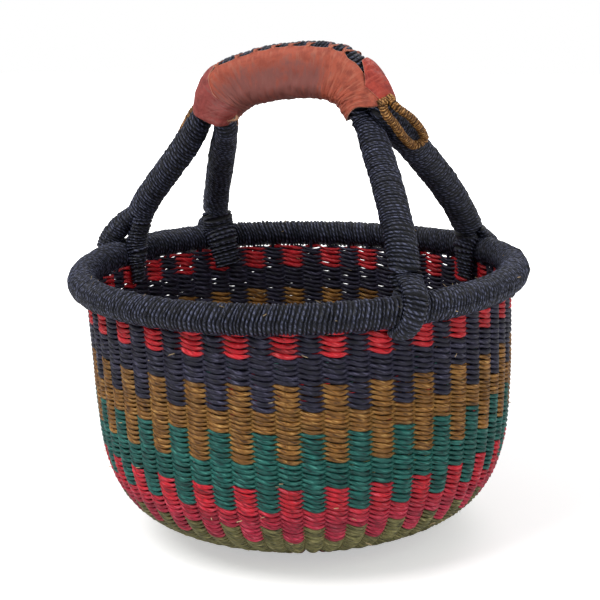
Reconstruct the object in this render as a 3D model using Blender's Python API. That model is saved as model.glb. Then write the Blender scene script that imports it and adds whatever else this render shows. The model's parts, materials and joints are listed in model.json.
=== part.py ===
"""Round market basket twined from dyed straw, with a bound rim, a forked double handle and a leather grip.

The bowl is woven over upright ribs.  Each weft colour is one solid whose edge steps up and down from rib
to rib, as twined strands of two colours do, so the colours lock together like battlements.  Two bound
ropes arch over the bowl, one above the other inside the leather grip.  Every rope end forks into two
prongs that sit astride the rim.  A wrapped hanging loop swings at each end of the grip.

Axes: origin at the middle of the base underside, +Z up, the grip along X.
"""

import bpy
import bmesh
import numpy as np
from math import asin, cos, pi, radians, sin, tau
from mathutils import Vector

MM = 0.001

# Clearance between pieces that touch
GAP = 0.3 * MM

# Bowl
BASE_RADIUS = 78 * MM
MOUTH_RADIUS = 155.5 * MM
BOWL_HEIGHT = 182.2 * MM
WALL_THICKNESS = 8 * MM
RIB_COUNT = 60
RIB_RELIEF = 2.4 * MM
GROOVE_FADE_LENGTH = 15 * MM
FRONT_STRAND_DEPTH = 4.35 * MM
BACK_STRAND_DEPTH = 5.95 * MM
FIRST_RIB_ANGLE = radians(-72.1)

# Bowl outline above the base: share of the bowl's height, share of the widening from base to mouth
OUTLINE_SHARES = [
    (0.064, 0.294), (0.149, 0.659), (0.265, 0.822), (0.425, 0.926), (0.64, 0.970), (0.85, 0.988), (1.0, 1.0),
]
OUTLINE_STEPS = 24

# Courses of weft from the middle of the base to the rim: rows, colour on even ribs, colour on odd ribs
COURSES = [
    (26, "base", "base"), (10, "base", "base"), (6, "base", "olive"), (5, "olive", "olive"),
    (5, "red", "olive"), (5, "red", "red"), (6, "red", "green"), (6, "green", "green"),
    (7, "gold", "green"), (5, "gold", "gold"), (6, "gold", "navy"), (6, "navy", "navy"),
    (6, "red_check", "navy"),
]
WEFT_NODES = {
    "base": "base_weft", "olive": "olive_weft", "red": "red_weft", "green": "green_weft",
    "gold": "gold_weft", "navy": "navy_weft", "red_check": "red_check_weft",
}

# Spokes that stand up from the floor of the bowl: where they start and end, and how many
FLOOR_SPOKE_START = 20 * MM
FLOOR_SPOKE_END = 68 * MM
FLOOR_SPOKES = RIB_COUNT // 2

# Rim roll, which sits on the bowl's mouth
RIM_OUTSET = 2 * MM
RIM_THICKNESS = 21 * MM
RIM_RADIUS = MOUTH_RADIUS + RIM_OUTSET
RIM_HEIGHT = BOWL_HEIGHT + GAP + RIM_THICKNESS / 2
RIM_SIDES = 8
RIM_STEPS = 60

# Handle arch, the line midway between the two ropes: rise above the rim, reach from the middle
ARCH_RISE = 145 * MM
ARCH_END_RISE = 114.6 * MM
ARCH_END_REACH = 60 * MM
ARCH_TOP_PULL = 37 * MM
ARCH_SHOULDER_PULL = 25 * MM
ARCH_END_SLOPE = radians(66)
ARCH_END_SPEED = 3 * ARCH_SHOULDER_PULL
ARCH_SAMPLE_SHARE = 0.01

# Ropes
ROPE_DIAMETER = 20.6 * MM
GRIP_ROPE_HEIGHT = 18.6 * MM
GRIP_ROPE_WIDTH = 24 * MM
GRIP_END_ROPE_HEIGHT = 16.4 * MM
ROPE_SIDES = 8
ROPE_SEAM_STEPS = 5
LEG_STEPS = 7
ROPE_SETTLE_LENGTH = 60 * MM
LEG_START_PULL = 24 * MM

# Each leg: side of the grip, rope level, place round the rim and sideways turn in degrees, lean at its foot
# in degrees, pull at its foot, and how far inside and above the rim's middle it forks
LEGS = {
    "left_front": {"side": -1, "level": 1, "azimuth": 173, "yaw": 3, "lean": 24,
                   "foot_pull": 26 * MM, "fork_inset": 15.6 * MM, "fork_rise": 33 * MM},
    "left_back": {"side": -1, "level": -1, "azimuth": 139, "yaw": 38, "lean": 3,
                  "foot_pull": 27 * MM, "fork_inset": 11.5 * MM, "fork_rise": 22 * MM},
    "right_front": {"side": 1, "level": -1, "azimuth": -39.5, "yaw": -14, "lean": 15,
                    "foot_pull": 34 * MM, "fork_inset": 11.5 * MM, "fork_rise": 22 * MM},
    "right_back": {"side": 1, "level": 1, "azimuth": 48, "yaw": 9, "lean": 33,
                   "foot_pull": 42 * MM, "fork_inset": 11.5 * MM, "fork_rise": 16.5 * MM},
}

# Prongs: full width along the rim and full depth across it, at the fork and at the foot
PRONG_FORK_WIDTH = 19.6 * MM
PRONG_WIDTH = 15 * MM
PRONG_FOOT_WIDTH = 12 * MM
PRONG_FORK_DEPTH = 10 * MM
PRONG_FOOT_DEPTH = 7.2 * MM
PRONG_SIDES = 8
PRONG_BEND_STEPS = 4
OUTER_HUG_STEPS = 5
INNER_HUG_STEPS = 2
INNER_PRONG_DROP = 22 * MM
INNER_TAPER_SHARE = 0.4

# Each prong: depth across the rim, angle at which it meets the rim and at which it leaves it, angle by which
# it splays off the leg, pulls at the fork and at the rim, and how far it drifts round the rim on its way
OUTER_PRONGS = {
    "left_front": {"depth": 12 * MM, "meet": 20, "leave": -90, "splay": 35,
                   "pulls": (12 * MM, 14 * MM), "drift": 0 * MM},
    "left_back": {"depth": 10 * MM, "meet": 62, "leave": -90, "splay": 0,
                  "pulls": (7 * MM, 7 * MM), "drift": 0 * MM},
    "right_front": {"depth": 11 * MM, "meet": 62, "leave": -90, "splay": 0,
                    "pulls": (7 * MM, 7 * MM), "drift": -16 * MM},
    "right_back": {"depth": 7 * MM, "meet": 58, "leave": -90, "splay": 0,
                   "pulls": (6 * MM, 6 * MM), "drift": 10 * MM},
}
INNER_PRONGS = {
    "left_front": {"depth": 10 * MM, "meet": 165, "leave": 188, "splay": 0,
                   "pulls": (8 * MM, 8 * MM), "drift": 0 * MM},
    "left_back": {"depth": 10 * MM, "meet": 150, "leave": 188, "splay": 0,
                  "pulls": (7 * MM, 7 * MM), "drift": -14 * MM},
    "right_front": {"depth": 10 * MM, "meet": 150, "leave": 188, "splay": 0,
                    "pulls": (7 * MM, 7 * MM), "drift": 0 * MM},
    "right_back": {"depth": 10 * MM, "meet": 150, "leave": 188, "splay": 0,
                   "pulls": (7 * MM, 7 * MM), "drift": 0 * MM},
}

# Leather grip
LEATHER_THICKNESS = 1.5 * MM
LEATHER_FIT = 0.95 * MM
SEAM_HALF_WIDTH = 6.2 * MM
SCALLOP_DEPTH = 1.6 * MM
SCALLOP_COUNT = 9
LEATHER_QUARTER_STEPS = 3
FLANK_ANGLE = radians(0.1)
RIGHT_ARCH_CUT = 13 * MM
LEFT_TONGUE = 8 * MM
CAP_THICKNESS = 1.5 * MM
CAP_STEPS = 3
CAP_START_SHARE = 0.7
LEFT_CAP_LOW_STEPS = 2
RIGHT_CAP_LOW_STEPS = 1

# Lacing thong that crosses the open seam
THONG_WIDTH = 3.6 * MM
THONG_THICKNESS = 1.3 * MM
THONG_REACH = 9.5 * MM
THONG_END_SHARE = 0.62
THONG_CROSSINGS = 9
THONG_CROSSING_STEPS = 4
THONG_STRAIGHT_SHARE = 0.96
THONG_SIDES = 4

# Knotted tie at the left end of the grip
TIE_CORD = 1.6 * MM
TIE_CURL_RADIUS = 3 * MM
TIE_TAIL = 7 * MM
TIE_STEPS = 6
TIE_PLACE_SHARE = -0.86
TIE_SEAT_ANGLE = radians(-101.5)
TIE_CURL_START = radians(-54)
TIE_CURL_TURN = radians(288)
TIE_CLIMB = 1.9 * MM

# Hanging loops
LOOP_CORD = 5.5 * MM
LOOP_LENGTH = 43 * MM
LOOP_HALF_WIDTH = 7.6 * MM
LOOP_ROLL = 6.5 * MM
LOOP_ROLL_LENGTH = 12.4 * MM
LEFT_LOOP_PLACE = 5.6 * MM
RIGHT_LOOP_PLACE = -4 * MM
LOOP_SEAT_ANGLE = radians(52)
LOOP_STRAND_SPACE = 0.6 * MM
LOOP_OUTLINE_SHARES = [(0.2, 0.62), (0.42, 0.92), (0.64, 1.0), (0.84, 0.82), (0.96, 0.42)]
LOOP_RINGS = 15
LOOP_LINE_STEPS = 8
LOOP_SEAT_STEPS = 30

# Edges sharper than this stay crisp when a solid is shaded smooth
CREASE_ANGLE = radians(40)

# Colours: red, green, blue and roughness
STRAW_NAVY = (0.035, 0.035, 0.060, 0.62)
STRAW_RED = (0.52, 0.03, 0.045, 0.6)
STRAW_ROSE = (0.42, 0.035, 0.07, 0.62)
STRAW_GREEN = (0.02, 0.13, 0.10, 0.62)
STRAW_GOLD = (0.22, 0.11, 0.03, 0.62)
STRAW_OLIVE = (0.13, 0.13, 0.045, 0.65)
STRAW_BLACK = (0.018, 0.022, 0.032, 0.58)
STRAW_TAN = (0.36, 0.19, 0.06, 0.6)
LEATHER_TERRACOTTA = (0.42, 0.12, 0.065, 0.5)
LEATHER_MAROON = (0.30, 0.075, 0.060, 0.5)
LEATHER_REDDISH = (0.43, 0.085, 0.055, 0.5)
LEATHER_THONG = (0.38, 0.10, 0.06, 0.55)
THONG_PALE = (0.45, 0.33, 0.20, 0.7)


def clear_scene():
    for old in list(bpy.data.objects):
        bpy.data.objects.remove(old, do_unlink=True)


def finish_material(name, colour):
    """One Principled material from a colour and its roughness."""
    made = bpy.data.materials.new(name)
    made.use_nodes = True
    shader = made.node_tree.nodes["Principled BSDF"]
    red, green, blue, roughness = colour
    shader.inputs["Base Color"].default_value = (red, green, blue, 1)
    shader.inputs["Roughness"].default_value = roughness
    shader.inputs["Metallic"].default_value = 0
    return made


def add_solid(name, points, faces, colour, origin=(0, 0, 0)):
    """Object from points and faces, with its faces turned outwards and its origin where asked."""
    centre = Vector(origin)
    mesh = bpy.data.meshes.new(name)
    mesh.from_pydata([Vector(point) - centre for point in points], [], faces)
    shell = bmesh.new()
    shell.from_mesh(mesh)
    bmesh.ops.recalc_face_normals(shell, faces=shell.faces)
    shell.to_mesh(mesh)
    shell.free()
    mesh.shade_smooth()
    mesh.set_sharp_from_angle(angle=CREASE_ANGLE)
    mesh.materials.append(finish_material(name, colour))
    solid = bpy.data.objects.new(name, mesh)
    solid.location = centre
    bpy.context.scene.collection.objects.link(solid)
    return solid


def loft(rings, closed=False):
    """Points and faces of a skin over rings of equally many points, capped at both ends unless closed."""
    sides = len(rings[0])
    points = [point for ring in rings for point in ring]
    faces = []
    spans = len(rings) if closed else len(rings) - 1
    for row in range(spans):
        here = row * sides
        there = (row + 1) % len(rings) * sides
        for side in range(sides):
            after = (side + 1) % sides
            faces.append((here + side, here + after, there + after, there + side))
    if not closed:
        faces.append(tuple(reversed(range(sides))))
        faces.append(tuple(range((len(rings) - 1) * sides, len(rings) * sides)))
    return points, faces


def oval_ring(centre, across, upward, half_width, half_height, sides):
    """Oval of points round a centre, in the plane of two unit vectors."""
    return [centre + across * (half_width * cos(turn)) + upward * (half_height * sin(turn))
            for turn in (tau * side / sides for side in range(sides))]


def bezier(start, start_pull, end_pull, end, share):
    """Point of a cubic curve at a share of its length."""
    rest = 1 - share
    return (start * rest ** 3 + start_pull * (3 * rest ** 2 * share)
            + end_pull * (3 * rest * share ** 2) + end * share ** 3)


# Bowl outline

def smooth_line(corners, steps):
    """Curve through the corners that never turns back between two of them."""
    corners = np.array(corners)
    chords = np.diff(corners, axis=0)
    runs = np.linalg.norm(chords, axis=1)
    slopes = chords / runs[:, None]
    tangents = [slopes[0]]
    for before, after in zip(slopes[:-1], slopes[1:]):
        same_way = before * after > 0
        total = np.where(same_way, before + after, 1)
        tangents.append(np.where(same_way, 2 * before * after / total, 0))
    tangents.append(slopes[-1])
    line = []
    for place, run in enumerate(runs):
        for t in np.linspace(0, 1, steps, endpoint=False):
            line.append((2 * t ** 3 - 3 * t ** 2 + 1) * corners[place]
                        + (t ** 3 - 2 * t ** 2 + t) * run * tangents[place]
                        + (3 * t ** 2 - 2 * t ** 3) * corners[place + 1]
                        + (t ** 3 - t ** 2) * run * tangents[place + 1])
    line.append(corners[-1])
    return np.array(line)


def bowl_outline():
    """Outer line of the bowl as (radius, height), with its running length and outward normals."""
    corners = [(0, 0), (BASE_RADIUS, 0)]
    widening = MOUTH_RADIUS - BASE_RADIUS
    corners += [(BASE_RADIUS + wide * widening, high * BOWL_HEIGHT) for high, wide in OUTLINE_SHARES]
    line = smooth_line(corners, OUTLINE_STEPS)
    lengths = np.concatenate([[0], np.cumsum(np.linalg.norm(np.diff(line, axis=0), axis=1))])
    tangents = np.gradient(line, lengths, axis=0)
    tangents /= np.linalg.norm(tangents, axis=1)[:, None]
    normals = np.stack([tangents[:, 1], -tangents[:, 0]], axis=1)
    return line, lengths, normals


LINE, LINE_LENGTHS, LINE_NORMALS = bowl_outline()
ROW_PITCH = LINE_LENGTHS[-1] / sum(rows for rows, even, odd in COURSES)
COURSE_EDGES = [0.0]
for course_rows, even_colour, odd_colour in COURSES:
    COURSE_EDGES.append(COURSE_EDGES[-1] + course_rows * ROW_PITCH)


def wall_point(length, depth, angle):
    """Point in the wall: distance along the outline, depth under its outer line, angle round the bowl."""
    radius, height = [np.interp(length, LINE_LENGTHS, LINE[:, side])
                      - depth * np.interp(length, LINE_LENGTHS, LINE_NORMALS[:, side]) for side in (0, 1)]
    return Vector((radius * cos(angle), radius * sin(angle), height))


def wall_radius(height, depth):
    """Radius of the wall at a height, at a depth under its outer line."""
    return np.interp(height, LINE[:, 1], LINE[:, 0]) - depth


# Weft colours

def crossed(course):
    """Whether the two strands of a course show both outside and inside, each behind the other."""
    return "red_check" in COURSES[course]


def colour_at(course, rib, layer):
    """Colour at a course and rib, in one of three layers from outside (0) to inside (2)."""
    rows, even, odd = COURSES[course]
    front, back = (even, odd) if rib % 2 == 0 else (odd, even)
    front_layers = 2 if rib % 2 == 0 else 1
    return back if crossed(course) and layer >= front_layers else front


def layer_run(colour, course, rib):
    """First and last depth mark between which a colour fills a cell, or None."""
    if course >= len(COURSES):
        return None
    layers = [layer for layer in range(3) if colour_at(course, rib % RIB_COUNT, layer) == colour]
    return (layers[0], layers[-1] + 1) if layers else None


def bare_run(run, across):
    """Part of a run of layers that the run across an edge doesn't cover, or None."""
    layers = [layer for layer in range(*run) if across is None or not across[0] <= layer < across[1]]
    return (layers[0], layers[-1] + 1) if layers else None


def run_marks(run, edge):
    """Depth marks along a run: those in between count only beside the crossed course."""
    beside = [course for course in (edge - 1, edge) if 1 <= course < len(COURSES)]
    if any(crossed(course) for course in beside):
        return list(range(run[0], run[1] + 1))
    return list(run)


def groove_depth(length):
    """Depth of the groove between ribs: it fades in from the edge of the flat base."""
    return RIB_RELIEF * min(1, max(0, (length - COURSE_EDGES[1]) / GROOVE_FADE_LENGTH))


def filled(colour, course, rib, layer):
    """Whether a colour fills a cell; past the first and last course the same colours go on."""
    course = min(max(course, 1), len(COURSES) - 1)
    layer = min(max(layer, 0), 2)
    return colour_at(course, rib % RIB_COUNT, layer) == colour


def corner_shift(colour, edge, rib, mark):
    """How a corner moves back from the colours beside it: along the wall, round it and into it."""
    along, around, inward = 0, 0, 0
    pairs = [(-1, -1), (-1, 0), (0, -1), (0, 0)]
    for first, second in pairs:
        along += filled(colour, edge, rib + first, mark + second)
        along -= filled(colour, edge - 1, rib + first, mark + second)
        around += filled(colour, edge + first, rib, mark + second)
        around -= filled(colour, edge + first, rib - 1, mark + second)
        inward += filled(colour, edge + first, rib + second, mark)
        inward -= filled(colour, edge + first, rib + second, mark - 1)
    return [max(-1, min(1, value)) * GAP / 2 for value in (along, around, inward)]


def weft_solid(colour):
    """Solid of one weft colour, made of a cell for each rib and course that it covers."""
    points, faces, places = [], [], {}
    rib_angle = tau / RIB_COUNT

    def place(key, length, depth, angle):
        if key not in places:
            places[key] = len(points)
            points.append(wall_point(length, depth, angle))
        return places[key]

    def corner(edge, rib, mark):
        rib %= RIB_COUNT
        along, around, inward = corner_shift(colour, edge, rib, mark)
        length = COURSE_EDGES[edge] + along
        angle = FIRST_RIB_ANGLE + (rib - 0.5) * rib_angle
        angle += around / np.interp(length, LINE_LENGTHS, LINE[:, 0])
        depth = (groove_depth(length), FRONT_STRAND_DEPTH, BACK_STRAND_DEPTH, WALL_THICKNESS)[mark]
        return place((edge, rib, mark), length, depth + inward, angle)

    def crest(edge, rib):
        above, below = filled(colour, edge, rib, 0), filled(colour, edge - 1, rib, 0)
        length = COURSE_EDGES[edge] + (above - below) * GAP / 2
        return place((edge, rib, "crest"), length, 0, FIRST_RIB_ANGLE + rib * rib_angle)

    def cap(edge, rib, run):
        marks = run_marks(run, edge)
        ring = [corner(edge, rib, mark) for mark in reversed(marks)]
        ring += [crest(edge, rib)] if run[0] == 0 else []
        return ring + [corner(edge, rib + 1, mark) for mark in marks]

    for course in range(1, len(COURSES)):
        low, high = course, course + 1
        for rib in range(RIB_COUNT):
            run = layer_run(colour, course, rib)
            if run is None:
                continue
            near, far = rib, rib + 1
            first, last = run
            if first == 0:
                middle_low, middle_high = crest(low, rib), crest(high, rib)
                faces.append((corner(low, near, 0), middle_low, middle_high, corner(high, near, 0)))
                faces.append((middle_low, corner(low, far, 0), corner(high, far, 0), middle_high))
            else:
                faces.append(tuple(corner(edge, side, first)
                                   for edge, side in ((low, near), (low, far), (high, far), (high, near))))
            faces.append(tuple(corner(edge, side, last)
                               for edge, side in ((low, far), (low, near), (high, near), (high, far))))
            bare_top = bare_run(run, layer_run(colour, high, rib))
            if bare_top:
                faces.append(tuple(cap(high, rib, bare_top)))
            bare_bottom = bare_run(run, layer_run(colour, low - 1, rib)) if low > 1 else None
            if bare_bottom:
                faces.append(tuple(reversed(cap(low, rib, bare_bottom))))
            for side, neighbour in ((near, rib - 1), (far, rib + 1)):
                bare_side = bare_run(run, layer_run(colour, course, neighbour))
                if bare_side:
                    outer, inner = bare_side
                    face = (corner(low, side, outer), corner(high, side, outer),
                            corner(high, side, inner), corner(low, side, inner))
                    faces.append(face if side == near else tuple(reversed(face)))
    if colour == "base":
        under, edge = [], []
        for rib in range(RIB_COUNT):
            under += [corner(1, rib, 0), crest(1, rib)]
            edge.append(corner(1, rib, 3))
        faces.append(tuple(reversed(under)))
        rings = [edge]
        for radius in (FLOOR_SPOKE_END, FLOOR_SPOKE_START):
            ring = []
            for half in range(2 * FLOOR_SPOKES):
                angle = FIRST_RIB_ANGLE + (half - 1) * tau / (2 * FLOOR_SPOKES)
                height = WALL_THICKNESS - (0 if half % 2 else RIB_RELIEF)
                ring.append(len(points))
                points.append(Vector((radius * cos(angle), radius * sin(angle), height)))
            rings.append(ring)
        for outside, inside in zip(rings[:-1], rings[1:]):
            for place in range(len(outside)):
                after = (place + 1) % len(outside)
                faces.append((outside[place], outside[after], inside[after]))
                faces.append((outside[place], inside[after], inside[place]))
        faces.append(tuple(rings[-1]))
    return points, faces


def build_weft():
    colours = {
        "base": STRAW_NAVY, "olive": STRAW_OLIVE, "red": STRAW_ROSE, "green": STRAW_GREEN,
        "gold": STRAW_GOLD, "navy": STRAW_NAVY, "red_check": STRAW_RED,
    }
    for colour, node in WEFT_NODES.items():
        points, faces = weft_solid(colour)
        add_solid(node, points, faces, colours[colour])


def build_rim():
    """Straw roll bound round the ends of the ribs."""
    rings = []
    for step in range(RIM_STEPS):
        angle = tau * step / RIM_STEPS
        outward = Vector((cos(angle), sin(angle), 0))
        centre = outward * RIM_RADIUS + Vector((0, 0, RIM_HEIGHT))
        half = RIM_THICKNESS / 2
        rings.append(oval_ring(centre, outward, Vector((0, 0, 1)), half, half, RIM_SIDES))
    points, faces = loft(rings, closed=True)
    add_solid("rim_roll", points, faces, STRAW_BLACK)


# Handle arch and legs

def arch_point(share):
    """Point midway between the ropes, and the unit vector from the lower rope to the upper.

    The share runs from -1 at the left end of the grip to 1 at the right; past them the line goes on straight.
    """
    side = -1 if share < 0 else 1
    top = Vector((0, 0, ARCH_RISE))
    end = Vector((ARCH_END_REACH, 0, ARCH_END_RISE))
    fall = Vector((cos(ARCH_END_SLOPE), 0, -sin(ARCH_END_SLOPE)))
    curve = (top, top + Vector((ARCH_TOP_PULL, 0, 0)), end - fall * ARCH_SHOULDER_PULL, end)
    inside = min(1, abs(share))
    here = bezier(*curve, inside) + fall * ((abs(share) - inside) * ARCH_END_SPEED)
    ahead = bezier(*curve, min(1, inside + ARCH_SAMPLE_SHARE))
    behind = bezier(*curve, max(0, inside - ARCH_SAMPLE_SHARE))
    run = (ahead - behind).normalized()
    point = Vector((side * here.x, 0, RIM_HEIGHT + here.z))
    return point, Vector((-side * run.z, 0, run.x))


def grip_shares():
    """Places along the grip, from -1 to 1, where every piece of it has a section."""
    scallops = np.linspace(-THONG_END_SHARE, THONG_END_SHARE, 2 * SCALLOP_COUNT + 1)
    end = np.linspace(CAP_START_SHARE, 1, CAP_STEPS + 1)
    return [*-end[::-1], *scallops, *end]


def grip_rope_height(share):
    """Height of each rope in the grip, which the leather draws in towards its ends."""
    drawn = min(1, max(0, (abs(share) - THONG_END_SHARE) / (1 - THONG_END_SHARE)))
    return GRIP_ROPE_HEIGHT + (GRIP_END_ROPE_HEIGHT - GRIP_ROPE_HEIGHT) * drawn


def rope_arch_point(level, share):
    """Middle of the upper rope (level 1) or lower rope (level -1) in the grip."""
    point, upward = arch_point(share)
    return point + upward * (level * (grip_rope_height(share) + GAP) / 2)


def leg_frame(name):
    """Outward unit vector at a leg's foot, the point where it forks and its direction there."""
    leg = LEGS[name]
    azimuth = radians(leg["azimuth"])
    outward = Vector((cos(azimuth), sin(azimuth), 0))
    fork = outward * (RIM_RADIUS - leg["fork_inset"]) + Vector((0, 0, RIM_HEIGHT + leg["fork_rise"]))
    lean = radians(leg["lean"])
    down = outward * sin(lean) - Vector((0, 0, cos(lean)))
    return outward, fork, down


def leg_point(name, share):
    """Middle of a leg's rope, from the end of the grip to the fork."""
    leg = LEGS[name]
    start = rope_arch_point(leg["level"], leg["side"])
    yaw = radians(leg["yaw"])
    slope = cos(ARCH_END_SLOPE)
    fall = Vector((leg["side"] * slope * cos(yaw), slope * sin(yaw), -sin(ARCH_END_SLOPE)))
    outward, fork, down = leg_frame(name)
    end = fork - down * GAP
    return bezier(start, start + fall * LEG_START_PULL, end - down * leg["foot_pull"], end, share)


def carried_frames(path, start_across, last_run):
    """Unit vectors across and above a path, carried along it without twist from its first point."""
    frames = []
    across = start_across
    for place in range(len(path)):
        run = (path[min(place + 1, len(path) - 1)] - path[max(place - 1, 0)]).normalized()
        if place == len(path) - 1:
            run = last_run
        across = (across - run * across.dot(run)).normalized()
        frames.append((across, run.cross(across)))
    return frames


def rope_side(level, right):
    """Half a rope from the top of the arch to its fork: rows of (point, across, up, width, height)."""
    name = leg_name(level, right)
    side = 1 if right else -1
    seam = np.linspace(0, THONG_END_SHARE, ROPE_SEAM_STEPS + 1)
    shares = [*seam, *[share for share in grip_shares() if share >= CAP_START_SHARE]]
    arch = [rope_arch_point(level, side * share) for share in shares[:-1]]
    leg = [leg_point(name, step / LEG_STEPS) for step in range(LEG_STEPS + 1)]
    path = arch + leg
    frames = carried_frames(path, Vector((0, side, 0)), leg_frame(name)[2])
    rows = []
    left = 0
    for place, (point, frame) in enumerate(zip(path, frames)):
        if place > len(arch):
            left += (point - path[place - 1]).length
        settled = min(1, left / ROPE_SETTLE_LENGTH)
        height = grip_rope_height(shares[place] if place < len(arch) else 1)
        height += (ROPE_DIAMETER - height) * settled
        width = GRIP_ROPE_WIDTH + (ROPE_DIAMETER - GRIP_ROPE_WIDTH) * settled
        rows.append((point, frame[0] * side, frame[1] * side, width, height))
    return rows


def leg_name(level, right):
    for name, leg in LEGS.items():
        if leg["level"] == level and (leg["side"] > 0) == right:
            return name


def build_rope(node, level):
    """One bound rope, from its left fork through the grip to its right fork."""
    left, right = rope_side(level, False), rope_side(level, True)
    rings = []
    for point, across, upward, width, height in list(reversed(left))[:-1] + right:
        rings.append(oval_ring(point, across, upward, width / 2, height / 2, ROPE_SIDES))
    points, faces = loft(rings)
    add_solid(node, points, faces, STRAW_BLACK)


# Prongs astride the rim

def hug_point(angle, half_depth):
    """Point beside the rim's section, clear of it by the gap, in (outward, up) from the rim's middle."""
    reach = RIM_THICKNESS / 2 + GAP + half_depth
    return np.array([reach * cos(angle), reach * sin(angle)])


def leaning(angle):
    """Unit vector in (outward, up) that points down and leans outward by an angle."""
    return np.array([sin(angle), -cos(angle)])


def prong_line(name, outer):
    """Centre line of a prong from the rim's middle: rows of ((outward, up), half width, half depth)."""
    leg = LEGS[name]
    prong = OUTER_PRONGS[name] if outer else INNER_PRONGS[name]
    lean = radians(leg["lean"])
    aside = np.array([cos(lean), sin(lean)])
    fork = np.array([-leg["fork_inset"], leg["fork_rise"]])
    spread = PRONG_FORK_DEPTH / 2 + GAP / 2
    start = fork + aside * (spread if outer else -spread)
    first, last = radians(prong["meet"]), radians(prong["leave"])
    turn = -1 if outer else 1
    landing = hug_point(first, prong["depth"] / 2)
    heading = np.array([-sin(first), cos(first)]) * turn
    start_pull = start + leaning(lean + radians(prong["splay"])) * prong["pulls"][0]
    end_pull = landing - heading * prong["pulls"][1]
    rows = []
    for step in range(PRONG_BEND_STEPS):
        share = step / PRONG_BEND_STEPS
        width = PRONG_FORK_WIDTH + (PRONG_WIDTH - PRONG_FORK_WIDTH) * share
        depth = PRONG_FORK_DEPTH + (prong["depth"] - PRONG_FORK_DEPTH) * share
        rows.append((bezier(start, start_pull, end_pull, landing, share), width / 2, depth / 2))
    steps = OUTER_HUG_STEPS if outer else INNER_HUG_STEPS
    for step in range(steps + 1):
        share = step / steps
        taper = share if outer else share * INNER_TAPER_SHARE
        depth = prong["depth"] + (min(PRONG_FOOT_DEPTH, prong["depth"]) - prong["depth"]) * taper
        width = PRONG_WIDTH + (PRONG_FOOT_WIDTH - PRONG_WIDTH) * taper
        rows.append((hug_point(first + (last - first) * share, depth / 2), width / 2, depth / 2))
    rows.append(prong_foot(rows[-1], outer))
    return rows


def prong_foot(above, outer):
    """Last row of a prong, against the wall just under the rim."""
    spot, half_width, half_depth = above
    if outer:
        beside_wall = wall_radius(RIM_HEIGHT + spot[1], 0) + GAP * 2 - RIM_RADIUS
        return np.array([beside_wall, spot[1]]), half_width, half_depth
    inside = wall_radius(RIM_HEIGHT - INNER_PRONG_DROP, WALL_THICKNESS) - GAP * 2 - PRONG_FOOT_DEPTH / 2
    return np.array([inside - RIM_RADIUS, -INNER_PRONG_DROP]), PRONG_FOOT_WIDTH / 2, PRONG_FOOT_DEPTH / 2


def build_prong(name, outer):
    rows = prong_line(name, outer)
    leg = LEGS[name]
    drift = (OUTER_PRONGS if outer else INNER_PRONGS)[name]["drift"]
    centres, outwards = [], []
    for place, (spot, half_width, half_depth) in enumerate(rows):
        share = place / (len(rows) - 1)
        azimuth = radians(leg["azimuth"]) + drift / RIM_RADIUS * share
        outwards.append(Vector((cos(azimuth), sin(azimuth), 0)))
        centres.append(outwards[-1] * (RIM_RADIUS + spot[0]) + Vector((0, 0, RIM_HEIGHT + spot[1])))
    rings = []
    for place, (spot, half_width, half_depth) in enumerate(rows):
        outward = outwards[place]
        around = Vector((-outward.y, outward.x, 0))
        run = (centres[min(place + 1, len(rows) - 1)] - centres[max(place - 1, 0)]).normalized()
        if place == 0:
            run = leg_frame(name)[2]
        if outer and place == len(rows) - 1:
            run = -outward
        across = (around - run * around.dot(run)).normalized()
        upward = across.cross(run)
        rings.append(oval_ring(centres[place], across, upward, half_width, half_depth, PRONG_SIDES))
    points, faces = loft(rings)
    kind = "outer" if outer else "inner"
    add_solid(f"{name}_{kind}_prong", points, faces, STRAW_BLACK)


# Leather grip

def wrap_point(share, angle, offset):
    """Point round both ropes at an angle from the top, standing off them by an offset."""
    centre, upward = arch_point(share)
    rope_height = grip_rope_height(share)
    half_width = GRIP_ROPE_WIDTH / 2 + offset
    level = 1 if cos(angle) > 0 else -1
    rise = level * (rope_height + GAP) / 2 + (rope_height / 2 + offset) * cos(angle)
    return centre + upward * rise + Vector((0, half_width * sin(angle), 0))


def trimmed(share, angle):
    """Share along the grip once the leather's ends are trimmed: in front the left one hangs lower as a tongue
    and the right one is cut back in an arch."""
    front = max(0, -sin(angle))
    towards_end = max(0, abs(share) - CAP_START_SHARE) / (1 - CAP_START_SHARE)
    if share > 0:
        return share - RIGHT_ARCH_CUT * sin(pi / 2 * front) * towards_end / ARCH_END_SPEED
    return share - LEFT_TONGUE * front ** 2 * towards_end / ARCH_END_SPEED


def half_section(edge):
    """Angles down one side of the leather section, from an edge at the top seam to the bottom."""
    steps = LEATHER_QUARTER_STEPS
    upper = [edge + (pi / 2 - FLANK_ANGLE - edge) * step / steps for step in range(steps + 1)]
    lower = [pi / 2 + FLANK_ANGLE + (pi / 2 - FLANK_ANGLE) * step / steps for step in range(steps + 1)]
    return upper + lower


def seam_edge(half_gap):
    return asin(half_gap / (GRIP_ROPE_WIDTH / 2 + LEATHER_FIT + LEATHER_THICKNESS))


def build_sleeve():
    """Main leather sleeve, wrapped up from below, with its two scalloped edges along the open seam."""
    inside = LEATHER_FIT
    outside = LEATHER_FIT + LEATHER_THICKNESS
    rings = []
    for place, share in enumerate(grip_shares()):
        between = (place - CAP_STEPS) % 2 == 0 and abs(share) < THONG_END_SHARE
        half = half_section(seam_edge(SEAM_HALF_WIDTH + (SCALLOP_DEPTH if between else 0)))
        angles = half + [tau - angle for angle in reversed(half[:-1])]
        ring = [wrap_point(trimmed(share, angle), angle, outside) for angle in angles]
        ring += [wrap_point(trimmed(share, angle), angle, inside) for angle in reversed(angles)]
        rings.append(ring)
    points, faces = loft(rings)
    add_solid("leather_sleeve", points, faces, LEATHER_TERRACOTTA)


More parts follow.
